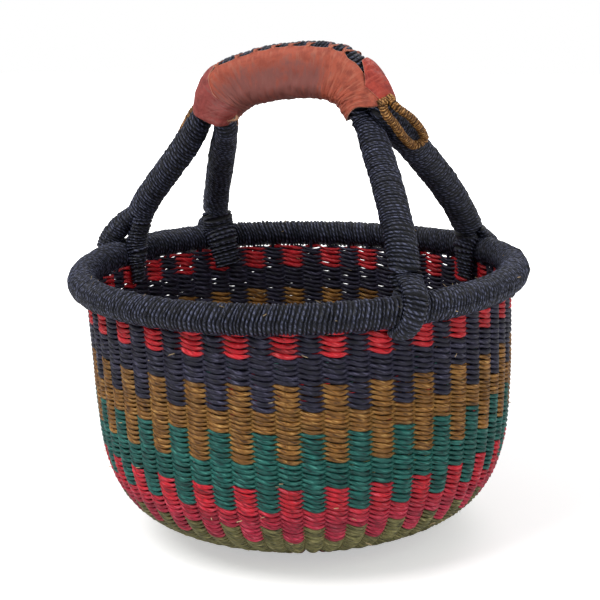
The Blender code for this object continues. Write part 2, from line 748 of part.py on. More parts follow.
def build_cap(node, side, low_steps, colour):
    """Leather piece over one end of the sleeve, which closes the top seam there."""
    inside = LEATHER_FIT + LEATHER_THICKNESS + GAP
    outside = inside + CAP_THICKNESS
    half = half_section(seam_edge(SEAM_HALF_WIDTH))[:LEATHER_QUARTER_STEPS + 2 + low_steps]
    angles = [-angle for angle in reversed(half)] + [0] + half
    rings = []
    for share in [share for share in grip_shares() if share * side >= CAP_START_SHARE]:
        ring = [wrap_point(trimmed(share, angle), angle, outside) for angle in angles]
        ring += [wrap_point(trimmed(share, angle), angle, inside) for angle in reversed(angles)]
        rings.append(ring)
    points, faces = loft(rings)
    add_solid(node, points, faces, colour)


def build_lacing():
    """Thong that zigzags over the open seam from one scalloped edge to the other."""
    stand = LEATHER_FIT + LEATHER_THICKNESS + GAP + THONG_THICKNESS / 2
    half_width = GRIP_ROPE_WIDTH / 2 + stand
    steps = THONG_CROSSINGS * THONG_CROSSING_STEPS
    path, normals = [], []
    for step in range(steps + 1):
        share = THONG_END_SHARE * (2 * step / steps - 1)
        swing = sin(pi * (step / THONG_CROSSING_STEPS - 0.5))
        reach = THONG_REACH * asin(THONG_STRAIGHT_SHARE * swing) / asin(THONG_STRAIGHT_SHARE)
        angle = asin(reach / half_width)
        path.append(wrap_point(share, angle, stand))
        normals.append(path[-1] - wrap_point(share, angle, 0))
    rings = []
    for place, point in enumerate(path):
        run = (path[min(place + 1, steps)] - path[max(place - 1, 0)]).normalized()
        normal = normals[place]
        normal = (normal - run * normal.dot(run)).normalized()
        across = run.cross(normal)
        rings.append(oval_ring(point, across, normal, THONG_WIDTH / 2, THONG_THICKNESS / 2, THONG_SIDES))
    points, faces = loft(rings)
    add_solid("seam_lacing", points, faces, LEATHER_THONG)


def cord_curve(node, path, diameter, rounding, colour, origin):
    """Round cord along a path: a curve with a bevel and filled ends."""
    curve = bpy.data.curves.new(node, "CURVE")
    curve.dimensions = "3D"
    curve.bevel_depth = diameter / 2
    curve.bevel_resolution = rounding
    curve.use_fill_caps = True
    spline = curve.splines.new("POLY")
    spline.points.add(len(path) - 1)
    for slot, point in zip(spline.points, path):
        slot.co = (*(point - origin), 1)
    curve.materials.append(finish_material(node, colour))
    cord = bpy.data.objects.new(node, curve)
    cord.location = origin
    bpy.context.scene.collection.objects.link(cord)
    return cord


def build_tie():
    """Small curled tie that pins the left cap's lower corner to the sleeve."""
    stand = LEATHER_FIT + LEATHER_THICKNESS + GAP + CAP_THICKNESS + GAP + TIE_CORD / 2
    centre, upward = arch_point(TIE_PLACE_SHARE)
    along = upward.cross(Vector((0, 1, 0))).normalized()
    front = wrap_point(TIE_PLACE_SHARE, TIE_SEAT_ANGLE, stand)
    outward = Vector((0, -1, 0))
    path = []
    for step in range(TIE_STEPS + 1):
        turn = TIE_CURL_START + TIE_CURL_TURN * step / TIE_STEPS
        climb = outward * (TIE_CLIMB * step / TIE_STEPS)
        curl = along * cos(turn) + upward * sin(turn)
        path.append(front + climb + curl * TIE_CURL_RADIUS)
    first_run = (path[0] - path[1]).normalized()
    last_run = (path[-1] - path[-2]).normalized()
    path = [path[0] + first_run * TIE_TAIL] + path + [path[-1] + last_run * TIE_TAIL]
    cord_curve("left_cap_tie", path, TIE_CORD, 1, THONG_PALE, front)


# Hanging loops

def loop_seat(name, length, stand):
    """Point standing off a leg's rope, at a length past the grip's end, on the side where its loop lies."""
    leg = LEGS[name]
    level, side = leg["level"], leg["side"]
    grip_end = np.linspace(CAP_START_SHARE, 1, LOOP_SEAT_STEPS)
    before = [rope_arch_point(level, side * share) for share in grip_end]
    after = [leg_point(name, share) for share in np.linspace(0, 1, LOOP_SEAT_STEPS)]
    path = np.array(before[:-1] + after)
    lengths = np.concatenate([[0], np.cumsum(np.linalg.norm(np.diff(path, axis=0), axis=1))])
    lengths -= lengths[LOOP_SEAT_STEPS - 1]

    def at(place):
        return Vector([np.interp(place, lengths, path[:, axis]) for axis in range(3)])

    run = (at(length + LOOP_CORD) - at(length - LOOP_CORD)).normalized()
    front = Vector((0, -side, 0))
    rise = Vector((side * sin(ARCH_END_SLOPE), 0, cos(ARCH_END_SLOPE)))
    facing = rise * cos(LOOP_SEAT_ANGLE) + front * sin(LOOP_SEAT_ANGLE)
    facing = (facing - run * facing.dot(run)).normalized()
    return at(length) + facing * (ROPE_DIAMETER / 2 + stand), facing, run


def loop_outline():
    """Outline of a hanging loop as (length, sideways), from one strand's root round to the other's."""
    root = LOOP_CORD / 2 + LOOP_STRAND_SPACE / 2
    half = [(0, root)]
    for along, aside in LOOP_OUTLINE_SHARES:
        half.append((along * LOOP_LENGTH, root + aside * (LOOP_HALF_WIDTH - root)))
    half.append((LOOP_LENGTH, 0))
    far_side = [(along, -aside) for along, aside in half]
    near_side = [(along, aside) for along, aside in half[-2::-1]]
    line = smooth_line(far_side + near_side, LOOP_LINE_STEPS)
    lengths = np.concatenate([[0], np.cumsum(np.linalg.norm(np.diff(line, axis=0), axis=1))])
    rows = []
    for place in np.linspace(0, lengths[-1], LOOP_RINGS):
        rows.append((np.interp(place, lengths, line[:, 0]), np.interp(place, lengths, line[:, 1])))
    return rows


def build_loop(node, leg, start):
    """Wrapped loop that hangs from a straw roll at the edge of the leather and swings about that roll."""
    stand = GAP + LOOP_ROLL / 2
    hinge, facing, run = loop_seat(leg, start, stand)
    axis = run.cross(facing).normalized()
    path = []
    for along, aside in loop_outline():
        seat, lift, run_here = loop_seat(leg, start + along, stand)
        path.append(seat + axis * aside)
    cord = cord_curve(node, path, LOOP_CORD, 2, STRAW_TAN, hinge)
    roll_rings = [oval_ring(hinge + axis * (end * LOOP_ROLL_LENGTH / 2), facing, run, LOOP_ROLL / 2,
                            LOOP_ROLL / 2, ROPE_SIDES) for end in (-1, 1)]
    points, faces = loft(roll_rings)
    roll = add_solid(node + "_roll", points, faces, STRAW_TAN, hinge)
    roll.hide_render = True
    roll.display_type = "WIRE"
    return join_as_one(cord, roll, hinge, axis)


def join_as_one(cord, roll, hinge, axis):
    """Cord and roll as one body: the cord's mesh with the roll united to it."""
    graph = bpy.context.evaluated_depsgraph_get()
    mesh = bpy.data.meshes.new_from_object(cord.evaluated_get(graph))
    name = cord.name
    bpy.data.objects.remove(cord, do_unlink=True)
    solid = bpy.data.objects.new(name, mesh)
    solid.location = hinge
    bpy.context.scene.collection.objects.link(solid)
    union = solid.modifiers.new("roll", "BOOLEAN")
    union.operation = "UNION"
    union.solver = "EXACT"
    union.object = roll
    mesh.shade_smooth()
    print(name, "hinge at", [round(value, 5) for value in hinge], "axis", [round(value, 5) for value in axis])
    return solid


def main():
    clear_scene()
    build_weft()
    build_rim()
    build_rope("upper_rope", 1)
    build_rope("lower_rope", -1)
    for name in LEGS:
        build_prong(name, True)
        build_prong(name, False)
    build_sleeve()
    build_cap("left_leather_cap", -1, LEFT_CAP_LOW_STEPS, LEATHER_MAROON)
    build_cap("right_leather_flap", 1, RIGHT_CAP_LOW_STEPS, LEATHER_REDDISH)
    build_lacing()
    build_tie()
    build_loop("left_hanging_loop", "left_front", LEFT_LOOP_PLACE)
    build_loop("right_hanging_loop", "right_back", RIGHT_LOOP_PLACE)


main()
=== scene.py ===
# %% [markdown]
# # A round market basket, twined from dyed straw
#
# This lesson dresses a plain frame of solids as the real basket.  The frame gives the sizes and the moving
# bodies.  The lesson gives the looks: every strand of the weave, the straw wound round rim and handle, the
# leather of the grip and the two small hanging loops.
#
# The bowl is twined: two strands run round it together and cross between the upright ribs, so that each
# strand shows outside on every second rib and inside on the others.  Modelling the strands one by one gives
# the lock of the colours, the dark valleys and the scalloped outline without painting any of them.

import json
from math import cos, pi, radians, sin, tau

import bpy
import numpy as np
from mathutils import Matrix, Vector, noise

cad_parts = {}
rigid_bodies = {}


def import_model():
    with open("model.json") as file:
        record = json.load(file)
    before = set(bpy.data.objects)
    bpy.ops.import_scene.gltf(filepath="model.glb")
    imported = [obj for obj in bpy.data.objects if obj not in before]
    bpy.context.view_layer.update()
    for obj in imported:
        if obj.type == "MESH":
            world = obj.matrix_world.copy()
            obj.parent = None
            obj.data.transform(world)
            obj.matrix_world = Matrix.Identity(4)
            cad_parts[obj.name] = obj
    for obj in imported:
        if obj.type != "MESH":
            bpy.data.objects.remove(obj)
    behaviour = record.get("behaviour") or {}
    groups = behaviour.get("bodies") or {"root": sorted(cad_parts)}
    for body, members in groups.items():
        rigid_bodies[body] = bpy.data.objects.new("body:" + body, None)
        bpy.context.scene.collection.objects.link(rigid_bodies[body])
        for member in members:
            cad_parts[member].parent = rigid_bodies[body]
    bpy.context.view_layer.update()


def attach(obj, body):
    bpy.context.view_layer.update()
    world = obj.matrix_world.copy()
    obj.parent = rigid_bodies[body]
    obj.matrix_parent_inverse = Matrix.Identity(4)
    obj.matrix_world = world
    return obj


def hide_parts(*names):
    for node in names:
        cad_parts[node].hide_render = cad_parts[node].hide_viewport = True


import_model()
MM = 0.001
CAMERA_AZIMUTH = radians(22)

# %% [markdown]
# ## Meshes from rows of points
#
# Nearly every piece here is a skin over rows of points: a strand, a wound rope, a leather sleeve.  Building
# such a skin face by face in Python is slow, so one helper writes all corners at once.  It also stores named
# values on the points, such as how far along a strand each one lies.  The materials read those values, and
# so their streaks follow the straw wherever it goes.

# %% A skin over rows of points
def quads_of(rows, columns, closed_rows=False, closed_columns=True):
    """Corner numbers of the quads between rows of points that were stored one row after another."""
    row = np.arange(rows if closed_rows else rows - 1)[:, None]
    column = np.arange(columns if closed_columns else columns - 1)[None, :]
    row_after = (row + 1) % rows
    column_after = (column + 1) % columns
    corners = [row * columns + column, row * columns + column_after,
               row_after * columns + column_after, row_after * columns + column]
    return np.stack(corners, axis=-1).reshape(-1, 4)


def ramp(value, low, high):
    """Share of the way from a low mark to a high one, held between 0 and 1."""
    return np.clip((value - low) / (high - low), 0, 1)


def make_piece(name, points, quads, finish, triangles=(), **values):
    """Smooth mesh object from points and faces, with one named value per point for its material."""
    points = np.asarray(points, dtype=np.float32).reshape(-1, 3)
    triangles = np.asarray(triangles, dtype=np.int32).reshape(-1, 3)
    quads = np.asarray(quads, dtype=np.int32).reshape(-1, 4)
    first, second, third = [points[np.concatenate([quads[:, k], triangles[:, k]])] for k in range(3)]
    fourth = points[quads[:, 3]]
    volume = np.einsum("ij,ij->", first, np.cross(second, third))
    volume += np.einsum("ij,ij->", first[:len(quads)], np.cross(third[:len(quads)], fourth))
    if volume < 0:
        quads, triangles = quads[:, ::-1], triangles[:, ::-1]
    mesh = bpy.data.meshes.new(name)
    mesh.vertices.add(len(points))
    mesh.vertices.foreach_set("co", points.ravel())
    corners = np.concatenate([quads.ravel(), triangles.ravel()])
    mesh.loops.add(len(corners))
    mesh.loops.foreach_set("vertex_index", corners)
    starts = np.concatenate([np.arange(len(quads)) * 4, len(quads) * 4 + np.arange(len(triangles)) * 3])
    mesh.polygons.add(len(starts))
    mesh.polygons.foreach_set("loop_start", starts.astype(np.int32))
    mesh.update(calc_edges=True)
    mesh.validate()
    for value_name, value in values.items():
        layer = mesh.attributes.new(value_name, "FLOAT", "POINT")
        layer.data.foreach_set("value", np.asarray(value, dtype=np.float32).ravel())
    mesh.shade_smooth()
    mesh.materials.append(finish)
    piece = bpy.data.objects.new(name, mesh)
    bpy.context.scene.collection.objects.link(piece)
    return piece


def make_joined(name, skins, finish):
    """One mesh of several skins, each given as its points in rows, its quads and its values."""
    starts = np.cumsum([0] + [points[..., 0].size for points, quads, values in skins])
    joined = {key: np.concatenate([np.broadcast_to(values[key], points.shape[:2]).ravel()
                                   for points, quads, values in skins]) for key in skins[0][2]}
    return make_piece(name, np.concatenate([points.reshape(-1, 3) for points, quads, values in skins]),
                      np.concatenate([quads + start for start, (points, quads, values) in zip(starts, skins)]),
                      finish, **joined)


print("a 3 by 4 skin has", len(quads_of(3, 4)), "quads")

# %% [markdown]
# ## The lean of this one basket
#
# The frame is even, but a basket of straw is pulled into shape by hand and then by use.  This one leans a
# little to the left above the rim, its rim dips towards the back and its grip rises to the right.  Every piece
# that rides on the basket is bent by the same few millimetres, so the pieces still fit each other.

# %% Lean, and the call that dresses a body
LEAN_REACH = 157
ABOVE_RIM = (193, 300)
RIM_RISE = (40, 180)
WALL_LEAN, WALL_LEAN_HEIGHTS = 1.4, (130, 190)
HANDLE_LEAN = [-80, -55], [0.5, 1.6]
RIM_TWIST, RIM_DIP = 4.4, 1.5
GRIP_HEIGHTS = (285, 310)
GRIP_TILT = ([-80, -56, -36, -15, 0, 20, 34, 46, 60, 80],
             [0.5, -0.4, -2.2, -0.2, 1.2, 2.8, 4.2, 4.6, 2.4, 2])
GRIP_ARCH = [0, 22, 40, 54, 64, 72], [338, 335, 327, 315, 302, 290]
GRIP_DRAW = [-10, 10], [2.4, 0.4]
GRIP_DRAW_PLACE, GRIP_DRAW_WIDTH, GRIP_DRAW_DEPTH = 42, 15, 16


def swayed(points):
    """Points moved by the small lean and twist of this one basket, which its even frame leaves out."""
    x, y, z = points.T.astype(float) / MM
    to_right = (x * cos(CAMERA_AZIMUTH) + y * sin(CAMERA_AZIMUTH)) / LEAN_REACH
    to_back = np.clip((y * cos(CAMERA_AZIMUTH) - x * sin(CAMERA_AZIMUTH)) / LEAN_REACH, 0, None)
    above = ramp(z, *ABOVE_RIM)
    lean = -WALL_LEAN * ramp(z, *WALL_LEAN_HEIGHTS) - above * np.interp(x, *HANDLE_LEAN)
    twist = -ramp(z, *RIM_RISE) * (1 - above) * (RIM_TWIST * to_right * to_back + RIM_DIP * to_back ** 2)
    beside = np.exp(-((np.abs(x) - GRIP_DRAW_PLACE) / GRIP_DRAW_WIDTH) ** 2)
    under = ramp(np.interp(np.abs(x), *GRIP_ARCH) - z, 0, GRIP_DRAW_DEPTH)
    lift = np.interp(x, *GRIP_TILT) + np.interp(x, *GRIP_DRAW) * beside * under
    return np.stack([x + lean, y, z + twist + ramp(z, *GRIP_HEIGHTS) * lift], axis=-1) * MM


def dress(piece, body, slot, *nodes):
    """Puts a piece on its body, bent by the basket's lean if it rides on the basket, and hides the solids it stands
    for.
    """
    if body == "basket":
        points = np.empty(3 * len(piece.data.vertices), dtype=np.float32)
        piece.data.vertices.foreach_get("co", points)
        piece.data.vertices.foreach_set("co", swayed(points.reshape(-1, 3)).astype(np.float32).ravel())
        piece.data.update()
    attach(piece, body)
    if nodes:
        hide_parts(*nodes)
    return piece


print("the far rim dips by", RIM_DIP, "mm and the grip rises by up to", max(GRIP_TILT[1]), "mm")

# %% [markdown]
# ## Sums on sockets
#
# A material is a graph of nodes.  Wiring it call by call hides the sum that it works out, so one small class
# stands for an output of a node.  Plain Python operators on it add Math nodes, and one method adds any other
# node from its settings and the values of its inputs.

# %% The class that writes materials
class Wire:
    """Output of a node in one material; operators on it add Math nodes."""

    def __init__(self, tree, socket=None):
        self.tree = tree
        self.socket = socket

    def node(self, kind, settings, *values, output=0, **named):
        """Adds any node: its settings first, then its inputs in order, then its inputs by name."""
        made = self.tree.nodes.new("ShaderNode" + kind)
        for name, setting in settings.items():
            if name == "stops":
                ramp = made.color_ramp.elements
                for place, (position, colour) in enumerate(setting):
                    stop = ramp[place] if place < 2 else ramp.new(position)
                    stop.position = position
                    stop.color = (*colour, 1)
            else:
                setattr(made, name, setting)
        slots = list(zip(made.inputs, values)) + [(made.inputs[key.replace("_", " ")], value)
                                                  for key, value in named.items()]
        for slot, value in slots:
            if isinstance(value, Wire):
                self.tree.links.new(value.socket, slot)
            elif value is not None:
                slot.default_value = value
        return Wire(self.tree, made.outputs[output])

    def maths(self, operation, *values):
        return self.node("Math", {"operation": operation}, *values)

    def __add__(self, other):
        return self.maths("ADD", self, other)

    def __radd__(self, other):
        return self.maths("ADD", other, self)

    def __sub__(self, other):
        return self.maths("SUBTRACT", self, other)

    def __rsub__(self, other):
        return self.maths("SUBTRACT", other, self)

    def __mul__(self, other):
        return self.maths("MULTIPLY", self, other)

    def __rmul__(self, other):
        return self.maths("MULTIPLY", other, self)

    def __truediv__(self, other):
        return self.maths("DIVIDE", self, other)

    def clamped(self, low=0.0, high=1.0):
        """This value spread over 0 to 1 between a low and a high mark, and held there outside them."""
        return self.node("MapRange", {"interpolation_type": "SMOOTHSTEP"}, self, low, high, 0.0, 1.0)

    def read(self, name):
        """A named value that was stored on the points of the mesh."""
        return self.node("Attribute", {"attribute_name": name}, output=2)

    def noise(self, place, detail=3.0, roughness=0.55):
        return self.node("TexNoise", {}, Vector=place, Scale=1.0, Detail=detail, Roughness=roughness)

    def at(self, x, y, z):
        return self.node("CombineXYZ", {}, x, y, z)

    def tint(self, factor, first, second, how="MIX"):
        """Colour between two colours, or two wires that carry colours."""
        colours = [value if isinstance(value, Wire) else (*value, 1) for value in (first, second)]
        return self.node("Mix", {"data_type": "RGBA", "blend_type": how}, factor,
                         None, None, None, None, None, *colours, output=2)


def new_finish(name, **values):
    """Empty material whose shader has some inputs set, as (material, wire to write with, inputs)."""
    made = bpy.data.materials.new(name)
    made.use_nodes = True
    inputs = made.node_tree.nodes["Principled BSDF"].inputs
    for key, value in values.items():
        inputs[key.replace("_", " ")].default_value = value
    return made, Wire(made.node_tree), inputs


def feed(inputs, **wires):
    """Links wires to a shader's inputs."""
    for key, wire in wires.items():
        wire.tree.links.new(wire.socket, inputs[key.replace("_", " ")])


def colour_of(red, green, blue):
    """Linear colour from the 0 to 255 numbers that a picture shows."""
    shares = np.array([red, green, blue]) / 255
    return tuple(float(value) for value in np.where(shares <= 0.04045, shares / 12.92,
                                                    ((shares + 0.055) / 1.055) ** 2.4))


print("mid grey is", round(colour_of(128, 128, 128)[0], 3), "in linear light")

# %% [markdown]
# ## Dyed straw
#
# The weft is elephant grass: each strand is a few split blades, dyed and rolled between the palms into a
# tight twist.  From close by it shows long fibres that wind slowly round the strand, some nearly bare of dye
# and some dark, and a dull shine along the crest.  The finish works in the strand's own coordinates: `along`
# its length in millimetres, `turn` round it from 0 to 1, and `lot`, a number drawn for each stitch.

# %% Finish of a twisted strand
FIBRE_TWIST = 0.03
FIBRES_ROUND = 8.0


def straw_finish(name, dark, middle, light, gloss=0.35, upper=None):
    """Twisted dyed straw: three tones of one dye and a stray tone where the dye missed a fibre.

    An upper tone, with the heights between which it comes in, stands for a change of dye lot.
    """
    made, wire, inputs = new_finish(name, Roughness=0.5, Specular_IOR_Level=gloss)
    if upper:
        low, high, tone_above = upper
        height = wire.node("SeparateXYZ", {}, wire.node("NewGeometry", {}), output=2) / MM
        middle = wire.tint(height.clamped(low, high), middle, tone_above)
    along, turn, lot, reach = [wire.read(value) for value in ("along", "turn", "lot", "reach")]
    winding = (turn + along * FIBRE_TWIST) * tau
    across = wire.maths("SINE", winding) * (FIBRES_ROUND / tau)
    over = wire.maths("COSINE", winding) * (FIBRES_ROUND / tau)
    fibres = wire.noise(wire.at(across, over, along * 0.13 + lot * 37.0), 4.0, 0.62)
    blotches = wire.noise(wire.at(along * 0.3, lot * 19.0, turn), 2.0)
    tone = wire.tint(fibres.clamped(0.36, 0.54), dark, middle)
    tone = wire.tint(fibres.clamped(0.53, 0.7) * 0.9, tone, light)
    tone = wire.tint(reach.clamped(0.6, 1.0) * 0.22, tone, light)
    tone = wire.tint(fibres.clamped(0.7, 0.82) * blotches.clamped(0.46, 0.66), tone, STRAY_STRAW)
    shade = 0.42 + lot * 0.75 + blotches * 0.35
    tone = wire.tint(1.0, tone, wire.at(shade, shade, shade), "MULTIPLY")
    feed(inputs, Base_Color=tone, Normal=wire.node("Bump", {}, Strength=0.7, Distance=0.5 * MM, Height=fibres))
    return made


STRAY_STRAW = colour_of(190, 158, 112)
NAVY = straw_finish("navy_straw", colour_of(13, 13, 24), colour_of(33, 31, 50), colour_of(98, 96, 120), gloss=0.3)
RED = straw_finish("red_straw", colour_of(122, 8, 20), colour_of(206, 24, 40), colour_of(236, 108, 110))
ROSE = straw_finish("rose_straw", colour_of(112, 12, 34), colour_of(176, 32, 62), colour_of(212, 96, 114),
                    upper=(44, 66, colour_of(210, 26, 42)))
GREEN = straw_finish("green_straw", colour_of(4, 42, 42), colour_of(18, 92, 84), colour_of(76, 146, 134))
GOLD = straw_finish("gold_straw", colour_of(70, 42, 14), colour_of(138, 92, 36), colour_of(204, 162, 96))
OLIVE = straw_finish("olive_straw", colour_of(58, 58, 30), colour_of(112, 108, 64), colour_of(162, 154, 106))
print("straw finishes:", len([m for m in bpy.data.materials if m.name.endswith("_straw")]))

# %% [markdown]
# ## The line of the bowl
#
# All parts of the bowl follow one outline, from the middle of the flat base round the turn and up the wall.
# It is the same curve that the frame's solids use, kept here as a few shares of the height and the width.
# A place in the wall is then three numbers: how far along the outline, how deep under it and how far round.

# %% Outline of the bowl
BASE_RADIUS = 62 * MM
MOUTH_RADIUS = 155.5 * MM
BOWL_HEIGHT = 182.2 * MM
WALL_THICKNESS = 8 * MM
RIM_TUCK = (-1.8 * MM, 7 * MM)
OUTLINE_SHARES = [
    (0.060, 0.364), (0.118, 0.620), (0.184, 0.770), (0.280, 0.877), (0.417, 0.9465), (0.64, 0.9797), (1.0, 1.0),
]


def smooth_line(corners, steps):
    """Curve through the corners that never turns back between two of them."""
    corners = np.array(corners)
    chords = np.diff(corners, axis=0)
    runs = np.linalg.norm(chords, axis=1)
    slopes = chords / runs[:, None]
    tangents = [slopes[0]]
    for before, after in zip(slopes[:-1], slopes[1:]):
        same_way = before * after > 0
        total = np.where(same_way, before + after, 1)
        tangents.append(np.where(same_way, 2 * before * after / total, 0))
    tangents.append(slopes[-1])
    line = []
    for place, run in enumerate(runs):
        for t in np.linspace(0, 1, steps, endpoint=False):
            line.append((2 * t ** 3 - 3 * t ** 2 + 1) * corners[place]
                        + (t ** 3 - 2 * t ** 2 + t) * run * tangents[place]
                        + (3 * t ** 2 - 2 * t ** 3) * corners[place + 1]
                        + (t ** 3 - t ** 2) * run * tangents[place + 1])
    line.append(corners[-1])
    return np.array(line)


def lengths_along(points):
    """Distance of each point from the first, along the line."""
    return np.concatenate([[0], np.cumsum(np.linalg.norm(np.diff(points, axis=0), axis=1))])


OUTLINE = smooth_line([(0, 0), (BASE_RADIUS, 0)]
                      + [(BASE_RADIUS + wide * (MOUTH_RADIUS - BASE_RADIUS), high * BOWL_HEIGHT)
                         for high, wide in OUTLINE_SHARES], 24)
WALL_LENGTH = lengths_along(OUTLINE)[-1]
OUTLINE = np.vstack([OUTLINE, OUTLINE[-1] + RIM_TUCK])
OUTLINE_LENGTHS = lengths_along(OUTLINE)
OUTLINE_TANGENTS = np.gradient(OUTLINE, OUTLINE_LENGTHS, axis=0)
OUTLINE_TANGENTS /= np.linalg.norm(OUTLINE_TANGENTS, axis=1)[:, None]
OUTLINE_NORMALS = np.stack([OUTLINE_TANGENTS[:, 1], -OUTLINE_TANGENTS[:, 0]], axis=1)


def wall_place(length, depth, angle):
    """Points in the wall, from distances along the outline, depths under it and angles round the bowl."""
    radius, height = [np.interp(length, OUTLINE_LENGTHS, OUTLINE[:, side])
                      - depth * np.interp(length, OUTLINE_LENGTHS, OUTLINE_NORMALS[:, side]) for side in (0, 1)]
    return np.stack([radius * np.cos(angle), radius * np.sin(angle), height + 0 * angle], axis=-1)


print("from the middle of the base to the mouth:", round(WALL_LENGTH / MM), "mm along the wall")

# %% [markdown]
# ## Twining
#
# One row of twining is two strands that swap sides between every two ribs.  Over a rib a strand swells out,
# sags a little under the beater, and at both sides it climbs and dives into the valley beside the rib.  That
# gives each stitch its smile.  A course of two colours is a row of one strand of each, so its checks come out
# reversed on the inside of the bowl, as they do on the real one.
#
# Small draws for each stitch keep the rows from looking machine made: how thick it is, how low it sits and
# how it leans.

# %% Courses of colour
RIB_COUNT = 60
FIRST_RIB_ANGLE = radians(-72.1)
ROW_TUCK = 1.7 * MM
COURSES = [
    (26, 23, "base", "base"), (2, 2, "base", "base"), (2, 2, "red", "olive"), (6, 5, "olive", "olive"),
    (6, 5, "olive", "olive"), (5, 4, "olive", "olive"),
    (5, 4, "red", "olive"), (5, 4, "red", "red"), (6, 5, "red", "green"), (6, 5, "green", "green"),
    (7, 6, "gold", "green"), (5, 5, "gold", "gold"), (6, 5, "gold", "navy"), (6, 5, "navy", "navy"),
    (6, 5, "red_check", "navy"),
]
COLOUR_FINISHES = {
    "base": (NAVY, "navy_straw", "base_weft"), "olive": (OLIVE, "olive_straw", "olive_weft"),
    "red": (ROSE, "rose_straw", "red_weft"), "green": (GREEN, "green_straw", "green_weft"),
    "gold": (GOLD, "gold_straw", "gold_weft"), "navy": (NAVY, "navy_straw", "navy_weft"),
    "red_check": (RED, "red_straw", "red_check_weft"),
}


def rows_of_weft():
    """Every row from the middle of the base to the rim: its place along the wall, its height, its two colours."""
    unit = (WALL_LENGTH + ROW_TUCK) / sum(span for span, count, even, odd in COURSES)
    rows, edge = [], 0
    for span, count, even, odd in COURSES:
        pitch = span * unit / count
        rows += [(edge + (place + 0.5) * pitch, pitch, even, odd) for place in range(count)]
        edge += span * unit
    return rows


ROWS = rows_of_weft()
BASE_ROWS = COURSES[0][1]
print(len(ROWS), "rows, about", round(ROWS[-12][1] / MM, 2), "mm apart")

# %% One strand of a row
STRAND_HALF_DEPTH = 1.5 * MM
STITCH_SMILE = 0.2
STITCH_SLANT = 0.25
STITCH_HALF = 0.52
STITCH_TAPER = 0.25
STITCH_ROUNDING = 2.2
SWING_ROUNDING = 0.7
UNEVENNESS, TOP_UNEVENNESS = 0.12, 0.42
STITCH_LEAN = 0.34
THICKNESS_SPREAD = 0.13
FULL_SPACING = 14 * MM
LOT_RIBS = 7
STRAND_SIDES = 8
PLY_DEPTH = 0.07
PLIES = 3


def rib_spacing(length, ribs):
    return tau * np.interp(length, OUTLINE_LENGTHS, OUTLINE[:, 0]) / ribs


def strand_ring(row, side, ribs, steps, sides, draws):
    """One strand of a row, all the way round: its points in rows, its quads and its values for the finish."""
    length, pitch = ROWS[row][:2]
    phase = np.arange(ribs * steps) / steps
    rib = np.rint(phase).astype(int) % ribs
    beside = phase - np.rint(phase)
    reach = np.abs(2 * beside)
    thickness, low, lean, lot = [draws.uniform(-1, 1, ribs)[rib] for _ in range(4)]
    strand_lot = draws.uniform(-1, 1, ribs // LOT_RIBS + 1)[rib // LOT_RIBS]
    spacing = rib_spacing(length, ribs)
    width_share = min(1, spacing / FULL_SPACING)
    way = 1 if side == 0 else -1
    swing = np.cos(pi * phase) * way
    rounded = np.sign(swing) * np.abs(swing) ** SWING_ROUNDING
    depth = WALL_THICKNESS / 2 - (WALL_THICKNESS / 2 - STRAND_HALF_DEPTH) * rounded
    centre = length + pitch * STITCH_SMILE * width_share * (reach ** STITCH_ROUNDING - 0.4)
    centre -= way * pitch * STITCH_SLANT * np.sin(pi * phase)
    unevenness = TOP_UNEVENNESS if row == len(ROWS) - 1 else UNEVENNESS
    centre += pitch * (low * unevenness + lean * beside * STITCH_LEAN) * (1 - reach ** 2)
    turn = np.arange(sides) / sides
    twist = phase[:, None] * spacing / MM * FIBRE_TWIST
    ply = 1 + PLY_DEPTH * np.cos(PLIES * tau * (turn[None, :] + twist))
    half_high = pitch * (STITCH_HALF - STITCH_TAPER * reach ** STITCH_ROUNDING)
    half_high *= 1 + THICKNESS_SPREAD * thickness
    half_deep = STRAND_HALF_DEPTH * (1 - 0.25 * reach ** 2)
    high = half_high[:, None] * ply * np.sin(tau * turn)[None, :]
    deep = half_deep[:, None] * ply * np.cos(tau * turn)[None, :]
    angle = FIRST_RIB_ANGLE + phase / ribs * tau
    points = wall_place(centre[:, None] + high, depth[:, None] - deep, angle[:, None] + 0 * high)
    values = {"along": (phase * spacing / MM + row * 31.7 + side * 11.3)[:, None], "turn": turn[None, :],
              "lot": (0.5 + 0.25 * lot + 0.25 * strand_lot)[:, None], "reach": reach[:, None]}
    return points, quads_of(ribs * steps, sides, closed_rows=True), values


def weave(name, rings, ribs, steps, finish, seed):
    """One mesh of several strands, each a closed ring round the bowl."""
    draws = np.random.default_rng(seed)
    return make_joined(name, [strand_ring(*ring, ribs, steps, STRAND_SIDES, draws) for ring in rings], finish)


print("a strand is about", round(2 * STITCH_HALF * ROWS[-12][1] / MM, 2), "mm high over a rib")

# %% Weave the wall
STRAND_STEPS = 12
RINGS_PER_PIECE = 16

rings_of = {colour: [] for colour in COLOUR_FINISHES}
for row, (length, pitch, even, odd) in enumerate(ROWS):
    if row >= BASE_ROWS:
        rings_of[even].append((row, 0))
        rings_of[odd].append((row, 1))
for colour, rings in rings_of.items():
    finish, slot, node = COLOUR_FINISHES[colour]
    for part, start in enumerate(range(0, len(rings), RINGS_PER_PIECE)):
        piece = weave(f"{node}_strands_{part + 1}", rings[start:start + RINGS_PER_PIECE], RIB_COUNT,
                      STRAND_STEPS, finish, 100 + len(bpy.data.objects))
        dress(piece, "basket", slot, node)
print({colour: len(rings) for colour, rings in rings_of.items()}, "strands round the wall")

# %% [markdown]
# ## Base
#
# The base is begun at its middle over few ribs, and more ribs are laid in as it grows, so that the stitches
# stay about as wide as they are on the wall.

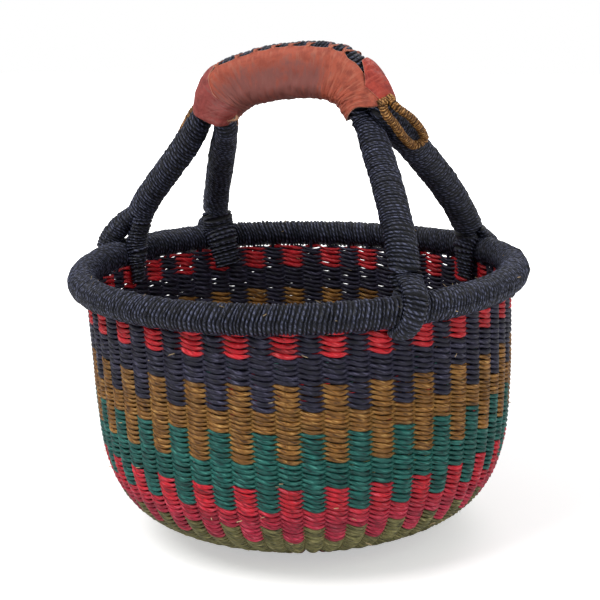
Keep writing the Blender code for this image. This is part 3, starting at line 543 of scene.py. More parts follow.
# %% Weave the base
BASE_ZONES = [(0, 5, 10), (5, 14, 30), (14, 23, 60)]
for first, last, ribs in BASE_ZONES:
    piece = weave(f"base_strands_{ribs}", [(row, side) for row in range(first, last) for side in (0, 1)], ribs,
                  STRAND_STEPS // 2, NAVY, 300 + ribs)
    dress(piece, "basket", "navy_straw")
print("base zones:", len(BASE_ZONES))

# %% Ribs inside the weave
RIB_RADIUS = 1.35 * MM
RIB_STEPS = 90
RIB_ROUND = 8


def build_ribs():
    """Upright straw bundles that the strands cross over, from the base to inside the rim."""
    draws = np.random.default_rng(7)
    turn = np.arange(RIB_ROUND)[None, :] / RIB_ROUND
    skins = []
    for rib in range(RIB_COUNT):
        zone = 0 if rib % 6 == 0 else 1 if rib % 2 == 0 else 2
        here = np.linspace(ROWS[max(1, BASE_ZONES[zone][0])][0], OUTLINE_LENGTHS[-1], RIB_STEPS)[:, None]
        around = RIB_RADIUS * np.sin(tau * turn) / np.interp(here, OUTLINE_LENGTHS, OUTLINE[:, 0])
        depth = WALL_THICKNESS / 2 + RIB_RADIUS * np.cos(tau * turn) + 0 * around
        points = wall_place(here + 0 * around, depth, FIRST_RIB_ANGLE + rib / RIB_COUNT * tau + around)
        values = {"along": here / MM, "turn": turn, "lot": draws.uniform(0, 1), "reach": 0}
        skins.append((points, quads_of(RIB_STEPS, RIB_ROUND), values))
    return make_joined("ribs", skins, NAVY)


dress(build_ribs(), "basket", "navy_straw")
print("ribs:", RIB_COUNT)

# %% [markdown]
# ## Straw wound round a core
#
# The rim, the ropes of the handle and their forked ends are bundles of straw with one long strand wound
# tightly round them.  Each turn of that strand is a ridge of its own, a little uneven and a little slanted,
# and small knuckles of it break the outline.  A smooth tube with stripes would lose exactly that, so each
# turn gets its own rings of points, and its width, slant and height are drawn one by one.

# %% Finish of the wound straw
TWIST_LENGTH = 4.2


def wound_finish(name, dark, middle, light):
    """Twisted straw wound round a core: short slanted dashes along each turn, each turn with its own tone, a painted
    highlight along its crest and painted shade in the valleys between turns.
    """
    made, wire, inputs = new_finish(name, Roughness=0.45, Specular_IOR_Level=0.35)
    around, ridge, lot, crest = [wire.read(value) for value in ("around", "ridge", "lot", "crest")]
    fibres = wire.noise(wire.at(around * 0.3, ridge * 2.2 + around * 0.35, lot * 41.0), 3.0, 0.6)
    fine = wire.noise(wire.at(around * 1.1, ridge * 5.0, lot * 17.0), 2.0)
    ply = wire.maths("SINE", (around / TWIST_LENGTH + ridge) * tau + fine * 7.0) * 0.5 + 0.5
    tone = wire.tint((fibres * 0.8 + ply * 0.2).clamped(0.36, 0.62), dark, middle)
    # Painted highlight: a lighter streak of fibres along the crest of each turn.
    painted_crest_highlight = (fibres * 0.55 + fine * 0.3 + ply * 0.15).clamped(0.47, 0.6) * crest.clamped(0.6, 1.0) * 0.8
    tone = wire.tint(painted_crest_highlight, tone, light)
    # Painted shade: each turn darkens towards the valleys on both sides of it, on top of a random tone for each turn.
    shade = (0.6 + lot * 0.6) * (0.22 + crest.clamped(0.1, 0.9) * 0.78)
    tone = wire.tint(1.0, tone, wire.at(shade, shade, shade), "MULTIPLY")
    feed(inputs, Base_Color=tone,
         Normal=wire.node("Bump", {}, Strength=0.8, Distance=0.6 * MM, Height=fibres * 0.5 + fine * 0.4 + ply * 0.4))
    return made


BOUND = wound_finish("dark_bound_straw", colour_of(10, 13, 24), colour_of(29, 34, 54), colour_of(106, 110, 138))
TAN = wound_finish("tan_straw", colour_of(108, 66, 26), colour_of(180, 124, 62), colour_of(224, 176, 112))
print("wound finishes:", BOUND.name, TAN.name)

# %% A wound tube
WRAP_PROFILE = [(0.0, 0.0), (0.13, 0.42), (0.28, 0.78), (0.43, 0.97), (0.57, 0.97), (0.72, 0.78), (0.87, 0.42)]
KNUCKLE_WIDTH = 0.22
KNUCKLE_SHARE = 0.3


def carried_frames(path, across):
    """Unit vectors across and above a path, carried along it without twist."""
    runs = np.gradient(path, axis=0)
    runs /= np.linalg.norm(runs, axis=1)[:, None]
    frames = []
    for run in runs:
        across = across - run * np.dot(across, run)
        across = across / np.linalg.norm(across)
        frames.append((across, np.cross(run, across)))
    return np.array([f[0] for f in frames]), np.array([f[1] for f in frames])


def along_line(places, lengths, values):
    """Values of a line at places along it, with one more axis for the numbers of each value."""
    return np.stack([np.interp(places, lengths, values[:, axis]) for axis in range(values.shape[1])], axis=-1)


def wound_tube(name, path, across, upward, sizes, pitch, ridge, finish, seed, sides=40, slant=0.5, under=1.0):
    """Tube along a path, covered with turns of a wound strand, its ends closed by a dome.

    Sizes are the half width and half height at each point of the path.  The slant is the share of a turn's
    width by which each turn leans over the top of the tube, and under is how much of it shows below.
    """
    draws = np.random.default_rng(seed)
    lengths = lengths_along(path)
    total = lengths[-1]
    count = max(3, round(total / pitch))
    widths = draws.uniform(0.72, 1.28, count)
    edges = np.concatenate([[0], np.cumsum(widths)]) / widths.sum() * total
    turn = np.arange(sides) / sides
    rise = np.sin(tau * turn)
    lean_way = np.where(rise > 0, rise, under * rise)
    heights = draws.uniform(-0.22, 0.22, count)
    tilts = slant + draws.uniform(-0.28, 0.28, count)
    lots = draws.uniform(0, 1, count)
    bulges = draws.uniform(-1, 1, (count, 5))
    knots = draws.uniform(0, 1, (count, 2))
    places, lift, lot, across_ridge, crest = [], [], [], [], []
    for wrap in range(count):
        width = edges[wrap + 1] - edges[wrap]
        wave = sum(bulges[wrap, k] * np.cos((k + 2) * tau * turn + 7 * bulges[wrap, k]) for k in range(5)) / 3
        apart = np.abs((turn - knots[wrap, 0] + 0.5) % 1 - 0.5) * tau
        knuckle = np.exp(-(apart / KNUCKLE_WIDTH) ** 2) * (knots[wrap, 1] < KNUCKLE_SHARE)
        lean = pitch * (tilts[wrap] * lean_way + 0.15 * wave)
        for share, height in WRAP_PROFILE:
            places.append(edges[wrap] + share * width + lean)
            lift.append(ridge * (height * (1 + heights[wrap] + 0.25 * wave + 0.5 * knuckle) - 1))
            lot.append(np.full(sides, lots[wrap]))
            across_ridge.append(np.full(sides, share + wrap * 3.1))
            # The crest value, the height of each ring in the turn's profile, sets the painted highlight on the crest
            # and the painted shade in the valleys.
            crest.append(np.full(sides, height))
    places, lift, lot, across_ridge, crest = map(np.array, (places, lift, lot, across_ridge, crest))
    places = np.clip(places, 0, total)
    centre = along_line(places, lengths, path)
    side_way = along_line(places, lengths, across)
    up_way = along_line(places, lengths, upward)
    half = along_line(places, lengths, sizes)
    circle = np.stack([np.cos(tau * turn), rise], axis=-1)[None]
    reach = half * circle + lift[..., None] * circle
    points = centre + side_way * reach[..., :1] + up_way * reach[..., 1:]
    rows = len(points)
    around = turn[None, :] * tau * half.mean(axis=-1) / MM + lot * 90
    points = points.reshape(-1, 3)
    values = {"around": around.ravel(), "ridge": across_ridge.ravel(), "lot": lot.ravel(), "crest": crest.ravel()}
    triangles = []
    for row, end, forward in ((0, 0, -1), (rows - 1, len(path) - 1, 1)):
        run = path[end] - path[end - forward]
        run = run / np.linalg.norm(run)
        tip = points[row * sides:(row + 1) * sides].mean(axis=0) + run * sizes[end].min() * 0.35
        points = np.concatenate([points, [tip]])
        for key, value in values.items():
            values[key] = np.concatenate([value, [value[row * sides]]])
        here = row * sides + np.arange(sides)
        after = row * sides + (np.arange(sides) + 1) % sides
        fan = (after, here) if forward < 0 else (here, after)
        triangles.append(np.stack([*fan, np.full(sides, len(points) - 1)], axis=-1))
    return make_piece(name, points, quads_of(rows, sides), finish, np.concatenate(triangles), **values)


print("rings for each turn:", len(WRAP_PROFILE))

# %% Rim
RIM_RADIUS = 157.5 * MM
RIM_HEIGHT = 193 * MM
RIM_THICKNESS = 21 * MM
WRAP_PITCH = 2.7 * MM
WRAP_RIDGE = 1.5 * MM
RIM_BREAKS = [radians(-39.5), radians(173), radians(320.5)]
RIM_POINTS = 241


def build_rim():
    """The bound rim, in two parts whose ends hide under the handle's prongs."""
    for part in range(2):
        angle = np.linspace(RIM_BREAKS[part], RIM_BREAKS[part + 1], RIM_POINTS)
        outward = np.stack([np.cos(angle), np.sin(angle), 0 * angle], axis=-1)
        path = outward * RIM_RADIUS + np.array([0, 0, RIM_HEIGHT])
        upward = np.tile([0.0, 0.0, 1.0], (RIM_POINTS, 1))
        sizes = np.full((RIM_POINTS, 2), RIM_THICKNESS / 2)
        piece = wound_tube(f"rim_binding_{part + 1}", path, outward, upward, sizes, WRAP_PITCH, WRAP_RIDGE, BOUND,
                           20 + part, sides=48, slant=1.3, under=0.25)
        dress(piece, "basket", "dark_bound_straw", "rim_roll")


build_rim()
print("rim:", round(tau * RIM_RADIUS / WRAP_PITCH), "turns")

# %% [markdown]
# ## Handle
#
# Two ropes arch over the bowl one above the other.  Inside the grip they run side by side, and outside it
# each end goes its own way down to the rim, where it opens into two prongs that sit astride it.

# %% Lines of the handle
ARCH_RISE = 145 * MM
ARCH_END_RISE = 114.6 * MM
ARCH_END_REACH = 60 * MM
ARCH_TOP_PULL = 37 * MM
ARCH_SHOULDER_PULL = 25 * MM
ARCH_END_SLOPE = radians(66)
ROPE_DIAMETER = 20.6 * MM
GRIP_ROPE_HEIGHT = 18.6 * MM
GRIP_ROPE_WIDTH = 24 * MM
GRIP_LEFT_ROPE_HEIGHT = 15.3 * MM
GRIP_RIGHT_ROPE_HEIGHT = 16.4 * MM
ROPE_SETTLE_LENGTH = 32 * MM
THONG_END_SHARE = 0.62
CAP_START_SHARE = 0.7
GAP = 0.3 * MM
LEGS = {
    "left_front": {"side": -1, "level": 1, "azimuth": 173, "yaw": 3, "lean": 24,
                   "start_pull": 30 * MM, "foot_pull": 18 * MM, "bow": (-1.5, -0.6), "girth": 0,
                   "fork_inset": 19.6 * MM, "fork_rise": 33 * MM},
    "left_back": {"side": -1, "level": -1, "azimuth": 139, "yaw": 38, "lean": 3,
                  "start_pull": 24 * MM, "foot_pull": 27 * MM, "bow": (2.0, 0.8), "girth": 0,
                  "fork_inset": 11.5 * MM, "fork_rise": 22 * MM},
    "right_front": {"side": 1, "level": -1, "azimuth": -39.5, "yaw": -14, "lean": 15,
                    "start_pull": 24 * MM, "foot_pull": 34 * MM, "bow": (3.4, 1.2), "girth": 1.4,
                    "fork_inset": 11.5 * MM, "fork_rise": 22 * MM},
    "right_back": {"side": 1, "level": 1, "azimuth": 48, "yaw": 9, "lean": 23,
                   "start_pull": 10 * MM, "foot_pull": 42 * MM, "bow": (0.8, 0.8), "girth": 2.4,
                   "fork_inset": 9.5 * MM, "fork_rise": 16.5 * MM},
}


def bezier(start, start_pull, end_pull, end, share):
    """Point of a cubic curve at a share of its length."""
    rest = 1 - share
    return (start * rest ** 3 + start_pull * (3 * rest ** 2 * share)
            + end_pull * (3 * rest * share ** 2) + end * share ** 3)


def arch_point(share):
    """Point midway between the ropes, and the unit vector from the lower rope to the upper."""
    side = -1 if share < 0 else 1
    top = Vector((0, 0, ARCH_RISE))
    end = Vector((ARCH_END_REACH, 0, ARCH_END_RISE))
    fall = Vector((cos(ARCH_END_SLOPE), 0, -sin(ARCH_END_SLOPE)))
    curve = (top, top + Vector((ARCH_TOP_PULL, 0, 0)), end - fall * ARCH_SHOULDER_PULL, end)
    inside = min(1, abs(share))
    here = bezier(*curve, inside) + fall * ((abs(share) - inside) * ARCH_SHOULDER_PULL * 3)
    run = (bezier(*curve, min(1, inside + 0.01)) - bezier(*curve, max(0, inside - 0.01))).normalized()
    point = Vector((side * here.x, 0, RIM_HEIGHT + here.z))
    return point, Vector((-side * run.z, 0, run.x))


def grip_rope_height(share):
    """Height of each rope in the grip, which the leather draws in towards its ends."""
    drawn = ramp(np.abs(share), THONG_END_SHARE, 1)
    end_height = np.where(share < 0, GRIP_LEFT_ROPE_HEIGHT, GRIP_RIGHT_ROPE_HEIGHT)
    return GRIP_ROPE_HEIGHT + (end_height - GRIP_ROPE_HEIGHT) * drawn


def rope_arch_point(level, share):
    point, upward = arch_point(share)
    return point + upward * (level * (float(grip_rope_height(share)) + GAP) / 2)


def leg_frame(name):
    """Outward unit vector at a leg's foot, the point where it forks and its direction there."""
    leg = LEGS[name]
    azimuth = radians(leg["azimuth"])
    outward = Vector((cos(azimuth), sin(azimuth), 0))
    fork = outward * (RIM_RADIUS - leg["fork_inset"]) + Vector((0, 0, RIM_HEIGHT + leg["fork_rise"]))
    lean = radians(leg["lean"])
    return outward, fork, outward * sin(lean) - Vector((0, 0, cos(lean)))


def leg_point(name, share):
    """Middle of a leg's rope, from the end of the grip to the fork."""
    leg = LEGS[name]
    start = rope_arch_point(leg["level"], leg["side"])
    yaw = radians(leg["yaw"])
    slope = cos(ARCH_END_SLOPE)
    fall = Vector((leg["side"] * slope * cos(yaw), slope * sin(yaw), -sin(ARCH_END_SLOPE)))
    outward, fork, down = leg_frame(name)
    point = bezier(start, start + fall * leg["start_pull"], fork - down * leg["foot_pull"], fork, share)
    early, late = leg["bow"]
    bowed = early * min(1, share / 0.12) * (1 - share) + late * 4 * share * (1 - share)
    return point + Vector((cos(CAMERA_AZIMUTH), sin(CAMERA_AZIMUTH), 0)) * bowed * MM


def leg_name(level, side):
    return next(name for name, leg in LEGS.items() if leg["level"] == level and leg["side"] == side)


print("grip spans", round(2 * ARCH_END_REACH / MM), "mm")

# %% Ropes
ARCH_POINTS = 60
BARE_ROPE_SWELL = 1.4 * MM
BARE_ROPE_END = (0.56, 0.66)
LEG_POINTS = 60


def build_rope(node, level):
    """One bound rope, from its left fork over the arch to its right fork."""
    rows = []
    for side in (-1, 1):
        name = leg_name(level, side)
        half = []
        for share in np.linspace(0, 1, ARCH_POINTS, endpoint=False):
            fuller = BARE_ROPE_SWELL * (level > 0) * (1 - ramp(share, *BARE_ROPE_END))
            half.append((rope_arch_point(level, side * share), GRIP_ROPE_WIDTH,
                         grip_rope_height(side * share) + fuller))
        end_height = grip_rope_height(side)
        left = 0
        before = None
        for share in np.linspace(0, 1, LEG_POINTS):
            point = leg_point(name, share)
            left += (point - before).length if before else 0
            before = point
            settled = min(1, left / ROPE_SETTLE_LENGTH)
            girth = ROPE_DIAMETER + LEGS[name]["girth"] * MM
            width = GRIP_ROPE_WIDTH + (girth - GRIP_ROPE_WIDTH) * settled
            height = end_height + (girth - end_height) * settled
            half.append((point, width, height))
        rows.append(half)
    line = rows[0][:0:-1] + rows[1]
    path = np.array([point for point, width, height in line])
    sizes = np.array([(width / 2, height / 2) for point, width, height in line])
    middle = len(rows[0]) - 1
    right = carried_frames(path[middle:], np.array([0.0, 1.0, 0.0]))
    left = carried_frames(path[middle::-1], np.array([0.0, 1.0, 0.0]))
    across = np.concatenate([left[0][:0:-1], right[0]])
    upward = np.concatenate([-left[1][:0:-1], right[1]])
    return wound_tube(node + "_binding", path, across, upward, sizes, WRAP_PITCH, WRAP_RIDGE, BOUND,
                      30 + level, sides=48, slant=0.9)


for node, level in (("upper_rope", 1), ("lower_rope", -1)):
    dress(build_rope(node, level), "basket", "dark_bound_straw", node)
print("ropes wound")

# %% Prongs
PRONG_SPREAD = 10 * MM
PRONG_FOOT_DEPTH = 7.2 * MM
INNER_PRONG_DROP = 22 * MM
INNER_TAPER_SHARE = 0.4
OUTER_PRONGS = {
    "left_front": {"depth": 12, "meet": 20, "splay": 35, "pulls": (12, 14), "drift": 0, "sunk": 7,
                   "fork": 15.5, "widths": (20, 18, 13)},
    "left_back": {"depth": 8, "meet": 62, "splay": 0, "pulls": (7, 7), "drift": -4, "sunk": 4,
                  "fork": 9, "widths": (19, 18, 13)},
    "right_front": {"depth": 11, "meet": 62, "splay": 0, "pulls": (7, 7), "drift": -16, "sunk": 1,
                    "fork": 10, "widths": (20, 19, 13)},
    "right_back": {"depth": 6, "meet": 58, "splay": 0, "pulls": (6, 6), "drift": 10, "sunk": 5,
                   "fork": 11, "widths": (24, 30, 20)},
}
INNER_PRONGS = {
    "left_front": {"depth": 13, "meet": 165, "splay": 0, "pulls": (8, 8), "drift": 0, "sunk": 3,
                   "fork": 13, "widths": (20, 18, 14)},
    "left_back": {"depth": 11, "meet": 150, "splay": 0, "pulls": (7, 7), "drift": -9, "sunk": 4,
                  "fork": 13, "widths": (25, 28, 22)},
    "right_front": {"depth": 10, "meet": 150, "splay": 0, "pulls": (7, 7), "drift": 0, "sunk": 2,
                    "fork": 11, "widths": (19.6, 16, 12)},
    "right_back": {"depth": 11, "meet": 150, "splay": 0, "pulls": (7, 7), "drift": 0, "sunk": 4,
                   "fork": 13, "widths": (24, 26, 16)},
}
LEAVE_ANGLES = {"outer": radians(-90), "inner": radians(188)}


def wall_radius(height, depth):
    return np.interp(height, OUTLINE[:, 1], OUTLINE[:, 0]) - depth


def hug_point(angle, half_depth):
    """Point beside the rim's section, in (outward, up) from the rim's middle."""
    reach = RIM_THICKNESS / 2 + GAP + half_depth
    return np.array([reach * cos(angle), reach * sin(angle)])


def leaning(angle):
    return np.array([sin(angle), -cos(angle)])


def prong_line(name, outer):
    """Centre line of a prong from the rim's middle: rows of ((outward, up), half width, half depth)."""
    leg = LEGS[name]
    prong = OUTER_PRONGS[name] if outer else INNER_PRONGS[name]
    lean = radians(leg["lean"])
    aside = np.array([cos(lean), sin(lean)])
    fork = np.array([-leg["fork_inset"], leg["fork_rise"]])
    fork_depth = prong["fork"] * MM
    spread = PRONG_SPREAD + (leg["girth"] * MM + GAP - fork_depth) / 2
    start = fork + aside * (spread if outer else -spread)
    first = radians(prong["meet"])
    last = LEAVE_ANGLES["outer" if outer else "inner"]
    thick = prong["depth"] * MM
    sunk = prong["sunk"] * MM
    fork_width, landing_width, foot_width = [width * MM for width in prong["widths"]]
    landing = hug_point(first, (thick - sunk) / 2)
    heading = np.array([-sin(first), cos(first)]) * (-1 if outer else 1)
    start_pull = start + leaning(lean + radians(prong["splay"])) * prong["pulls"][0] * MM
    end_pull = landing - heading * prong["pulls"][1] * MM
    rows = []
    for share in np.linspace(0, 1, 16, endpoint=False):
        width = fork_width + (landing_width - fork_width) * share
        depth = fork_depth + (thick + sunk - fork_depth) * share
        rows.append((bezier(start, start_pull, end_pull, landing, share), width / 2, depth / 2))
    for share in np.linspace(0, 1, 30 if outer else 10):
        taper = share if outer else share * INNER_TAPER_SHARE
        depth = thick + (min(PRONG_FOOT_DEPTH, thick) - thick) * taper
        width = landing_width + (foot_width - landing_width) * taper
        rows.append((hug_point(first + (last - first) * share, (depth - sunk) / 2), width / 2, (depth + sunk) / 2))
    above, half_width, half_depth = rows[-1]
    if outer:
        foot = np.array([wall_radius(RIM_HEIGHT + above[1], 0) + GAP * 2 - RIM_RADIUS, above[1]])
        end_half = (half_width, half_depth)
    else:
        inside = wall_radius(RIM_HEIGHT - INNER_PRONG_DROP, WALL_THICKNESS) - GAP * 2 - PRONG_FOOT_DEPTH / 2
        foot = np.array([inside - RIM_RADIUS, -INNER_PRONG_DROP])
        end_half = (foot_width / 2, PRONG_FOOT_DEPTH / 2)
    for share in np.linspace(0.25, 1, 4):
        rows.append((above + (foot - above) * share, half_width + (end_half[0] - half_width) * share,
                     half_depth + (end_half[1] - half_depth) * share))
    return rows


def build_prong(name, outer, seed):
    """Prong wound over its whole length, which drifts round the rim on its way down."""
    rows = prong_line(name, outer)
    drift = (OUTER_PRONGS if outer else INNER_PRONGS)[name]["drift"] * MM
    spots = np.array([spot for spot, half_width, half_depth in rows])
    sizes = np.array([(half_width, half_depth) for spot, half_width, half_depth in rows])
    walked = lengths_along(spots)
    azimuth = radians(LEGS[name]["azimuth"]) + drift / RIM_RADIUS * walked / walked[-1]
    outward = np.stack([np.cos(azimuth), np.sin(azimuth), 0 * azimuth], axis=-1)
    path = outward * (RIM_RADIUS + spots[:, :1]) + np.array([0, 0, 1]) * (RIM_HEIGHT + spots[:, 1:])
    across, upward = carried_frames(path, np.array([-outward[0, 1], outward[0, 0], 0]))
    kind = "outer" if outer else "inner"
    piece = wound_tube(f"{name}_{kind}_prong_binding", path, across, upward, sizes, WRAP_PITCH, WRAP_RIDGE, BOUND,
                       seed, sides=36, slant=0.4)
    dress(piece, "basket", "dark_bound_straw", f"{name}_{kind}_prong")


for seed, name in enumerate(LEGS):
    build_prong(name, True, 40 + seed)
    build_prong(name, False, 50 + seed)
print("prongs:", 2 * len(LEGS))

# %% [markdown]
# ## Leather grip
#
# One soft piece of goatskin is wrapped up from below round both ropes, and its two edges are laced over the
# upper rope with a flat thong, so that each hole pulls the edge up to a small point.  A second piece closes
# the left end like a cap and a third one lies over the right end, puckered where it is pinned.  The skin is
# gathered on the inside of the bend: fine folds run across the grip there, and the underside is given a
# darker, duller mauve brown.  A sheet with real thickness is laid round the ropes and its folds are raised in
# the mesh, so that they also show against the light; shade is also painted into the hollows of the folds,
# the creases and the slit, and the pores are only bump.

# %% Places round the grip
FLANK_START = 0.34
FLANK_END = 0.66
RIGHT_ARCH_CUT = 5 * MM
RIGHT_ARCH_TURNS = (-0.58, 0.19)
LEFT_TONGUE = 4.5 * MM
GRIP_LENGTH = 72.0
HALF_ROUND = 64.0
GRIP_TABLE = np.linspace(-1.3, 1.3, 521)
GRIP_CENTRES = np.array([arch_point(share)[0] for share in GRIP_TABLE])
GRIP_UPS = np.array([arch_point(share)[1] for share in GRIP_TABLE])


def hill(value, middle, width):
    """1 at a middle place, falling off to both sides of it."""
    return np.exp(-((value - middle) / width) ** 2)


def wrap_places(share, turn, offset):
    """Points round both ropes: turn is 0 on top, -0.5 at the front, 0.5 at the back and 1 or -1 below."""
    away = np.abs(turn)
    quarters = ramp(away, 0, FLANK_START) + ramp(away, FLANK_END, 1)
    angle = np.sign(turn) * quarters * pi / 2
    level = 1 - 2 * ramp(away, FLANK_START, FLANK_END)
    front = np.maximum(0, -np.sin(angle))
    towards_end = np.clip(np.abs(share) - CAP_START_SHARE, 0, None) / (1 - CAP_START_SHARE)
    cut = np.where(share > 0, RIGHT_ARCH_CUT * hill(turn, *RIGHT_ARCH_TURNS), LEFT_TONGUE * front ** 2)
    placed = share - cut * towards_end / (ARCH_SHOULDER_PULL * 3)
    rope = grip_rope_height(placed)
    rise = level * (rope + GAP) / 2 + (rope / 2 + offset) * np.cos(angle)
    points = along_line(placed, GRIP_TABLE, GRIP_CENTRES) + along_line(placed, GRIP_TABLE, GRIP_UPS) * rise[..., None]
    points[..., 1] += (GRIP_ROPE_WIDTH / 2 + offset) * np.sin(angle)
    return points


def waver(across, along, seed):
    """Soft random waves between about -1 and 1 over a grid of places."""
    spots = np.stack([across.ravel(), along.ravel()], axis=-1)
    return np.array([noise.noise(Vector((x, y, seed))) for x, y in spots]).reshape(across.shape)


print("half round the grip:", HALF_ROUND, "mm")

# %% Finish of the leather
# Darker mauve-brown tone given to the underside of the grip.
UNDERSIDE_BROWN = colour_of(126, 76, 72)
CUT_EDGE = colour_of(216, 156, 132)


def leather_finish(name, dark, middle, light, underside_brown=UNDERSIDE_BROWN, edge_tone=CUT_EDGE):
    """Goatskin: mottled tone, fine streaks across the grip, a darker, duller mauve-brown underside, painted shade in
    the hollows of folds, creases and slits, pale cut edges and pores.
    """
    made, wire, inputs = new_finish(name, Specular_IOR_Level=0.4)
    along, across, wear, edge, fold = [wire.read(value) for value in ("along", "across", "wear", "edge", "fold")]
    place = wire.at(along, across, 0.0)
    mottled = wire.noise(wire.at(along * 0.14, across * 0.14, 1.0), 4.0, 0.6)
    streaks = wire.noise(wire.at(along * 0.5, across * 0.07, 5.0), 3.0, 0.6)
    grain = wire.noise(wire.at(along * 1.4, across * 1.4, 3.0), 4.0, 0.65)
    pores = wire.node("TexVoronoi", {"feature": "DISTANCE_TO_EDGE"}, Vector=place, Scale=1.1, Randomness=1.0)
    tone = wire.tint(mottled.clamped(0.36, 0.6), dark, middle)
    tone = wire.tint(streaks.clamped(0.48, 0.72) * 0.6, tone, light)
    # A darker, mauve-brown tone on the underside, most on the left and in the middle, with a noisy border; the same
    # value makes it rougher there.
    tone = wire.tint((wear + (streaks + mottled - 1.0) * 2.0).clamped(0.1, 1.1) * 0.85, tone, underside_brown)
    tone = wire.tint(grain.clamped(0.56, 0.7) * 0.3, tone, dark)
    tone = wire.tint(grain.clamped(0.62, 0.8) * streaks.clamped(0.45, 0.6) * 0.5, tone, light)
    # Painted shade: darker in the hollows of the folds, in the creases and in the slit.
    shade = 1.0 - fold.clamped(0.1, 1.3) * 0.5
    tone = wire.tint(1.0, tone, wire.at(shade, shade, shade), "MULTIPLY")
    tone = wire.tint(edge.clamped(0.3, 0.9) * 0.8, tone, edge_tone)
    rough = grain * 0.3 + 0.35 + wear * 0.12
    bump = wire.node("Bump", {}, Strength=0.6, Distance=0.6 * MM,
                     Height=grain * 0.8 + pores.clamped(0.0, 0.12) * 0.25 + streaks * 0.8)
    feed(inputs, Base_Color=tone, Roughness=rough, Normal=bump)
    return made


TERRACOTTA = leather_finish("terracotta_leather", colour_of(156, 72, 54), colour_of(184, 88, 64),
                            colour_of(208, 126, 98))
MAROON = leather_finish("maroon_leather", colour_of(132, 54, 50), colour_of(160, 70, 64), colour_of(186, 102, 92))
REDDISH = leather_finish("reddish_leather", colour_of(148, 46, 38), colour_of(186, 68, 52), colour_of(210, 100, 80))
LACE = leather_finish("leather_thong", colour_of(150, 70, 52), colour_of(188, 104, 76), colour_of(216, 150, 118))
PALE_LACE = leather_finish("pale_thong", colour_of(140, 96, 70), colour_of(190, 144, 112), colour_of(216, 180, 148),
                           colour_of(120, 90, 70), colour_of(236, 210, 184))
print("leathers:", [finish.name for finish in (TERRACOTTA, MAROON, REDDISH, LACE, PALE_LACE)])

# %% Leather sheets
LEATHER_FIT = 0.95 * MM
LEATHER_THICKNESS = 1.5 * MM
CAP_THICKNESS = 1.3 * MM
LACE_POINTS = [-0.57, -0.36, -0.21, -0.075, 0.04, 0.165, 0.35, 0.46]
EDGE_INSET = 0.006


def graded(count):
    """Shares from 0 to 1 with one more line close to each end, where the cut edge begins."""
    return np.concatenate([[0, EDGE_INSET], np.linspace(0, 1, count)[1:-1], [1 - EDGE_INSET, 1]])


def leather_sheet(name, share, turn, inside, outside, wear, fold, finish, cut_shown=1.0):
    """Closed sheet between two offsets over a grid of places round the grip."""
    rows, columns = share.shape
    points = np.concatenate([wrap_places(share, turn, offset).reshape(-1, 3) for offset in (outside, inside)])
    outer = quads_of(rows, columns, closed_columns=False)
    count = rows * columns
    number = np.arange(count).reshape(rows, columns)
    border = np.concatenate([number[0, :-1], number[:-1, -1], number[-1, :0:-1], number[:0:-1, 0]])
    after = np.roll(border, -1)
    strips = np.stack([border + count, after + count, after, border], axis=-1)
    edge = np.zeros((rows, columns))
    edge[[0, -1]] = 1
    edge[:, [0, -1]] = 1
    edge = edge * cut_shown
    values = {"along": share * GRIP_LENGTH, "across": turn * HALF_ROUND, "wear": wear, "edge": edge, "fold": fold}
    return make_piece(name, points, np.concatenate([outer, outer[:, ::-1] + count, strips]), finish,
                      **{key: np.tile(value.ravel(), 2) for key, value in values.items()})


COARSE_FOLD = (4.6, 17)
FINE_FOLD = (1.8, 9)
BROAD_WAVE = (17, 15)


def gathers(along, across, amount):
    """Fine folds across the grip, as (lift, depth of the folds from 0 to 1, which sets the painted shade in their
    hollows).
    """
    bent = 0.5 * waver(along / 9, across / 9, 3.5)
    coarse = waver(along / COARSE_FOLD[0] + bent, across / COARSE_FOLD[1], 2.5)
    fine = waver(along / FINE_FOLD[0], across / FINE_FOLD[1], 8.5)
    broad = waver(along / BROAD_WAVE[0], across / BROAD_WAVE[1], 5.5)
    hollow = np.clip(-coarse - 0.6 * fine - 0.12, 0, 0.5) * 2
    lift = (0.5 * coarse + 0.6 * fine - 0.12 * hollow) * amount + 0.6 * broad
    return lift * MM, hollow * np.clip(amount, 0, 1) * 0.45


DARK_UNDERSIDE_TURNS = (0.24, 0.54)
DARK_UNDERSIDE_LEFT_END = (-1, -0.65)
DARK_UNDERSIDE_RIGHT_END = (0.28, 0.44)


def dark_underside_share(share, turn):
    """How much of the darker, duller underside tone a place gets: most below, on the left and in the middle."""
    below = ramp(np.abs(turn), *DARK_UNDERSIDE_TURNS)
    return below * (1 - ramp(share, *DARK_UNDERSIDE_RIGHT_END)) * (0.5 + 0.5 * ramp(share, *DARK_UNDERSIDE_LEFT_END))


print("points of the laced edge:", len(LACE_POINTS))

# %% Sleeve
SLEEVE_SHARES = 320
SLEEVE_TURNS = 110
EDGE_VALLEY = 0.198
EDGE_SPREAD = 0.018
EDGE_PEAK = 0.045
PEAK_WIDTH = 0.024
PIN_SHARE = 0.68
PIN_TURN = -0.2
PIN_SIZE = 2
PUCKER_RAYS = 8
FLAP_EDGE = [-0.31, -0.2, -0.12, 0], [0.8, 0.68, 0.605, 0.6]
SLEEVE_START = -0.92
SLEEVE_BELOW = (0.3, 0.75)
CREASE_PLACE, CREASE_WIDTH, CREASE_DEPTH = 0.36, 0.016, 0.55 * MM
SLIT_DEPTH = 2.0 * MM


def pucker(share, turn, reach):
    """Folds that run out from the pin at the right end, as a lift."""
    aside = (share - PIN_SHARE) * GRIP_LENGTH
    down = (turn - PIN_TURN) * HALF_ROUND
    apart = np.hypot(aside, down)
    ray = np.arctan2(down, aside)
    rays = np.cos(PUCKER_RAYS * ray + 2.5 * waver(aside / 6, down / 6, 1.5))
    return rays * np.exp(-apart / reach) * ramp(apart, 0, PIN_SIZE)


def sleeve_fullness(turn):
    """How strongly the sleeve is gathered: more below, inside the bend."""
    return 0.25 + 0.95 * ramp(np.abs(turn), *SLEEVE_BELOW)


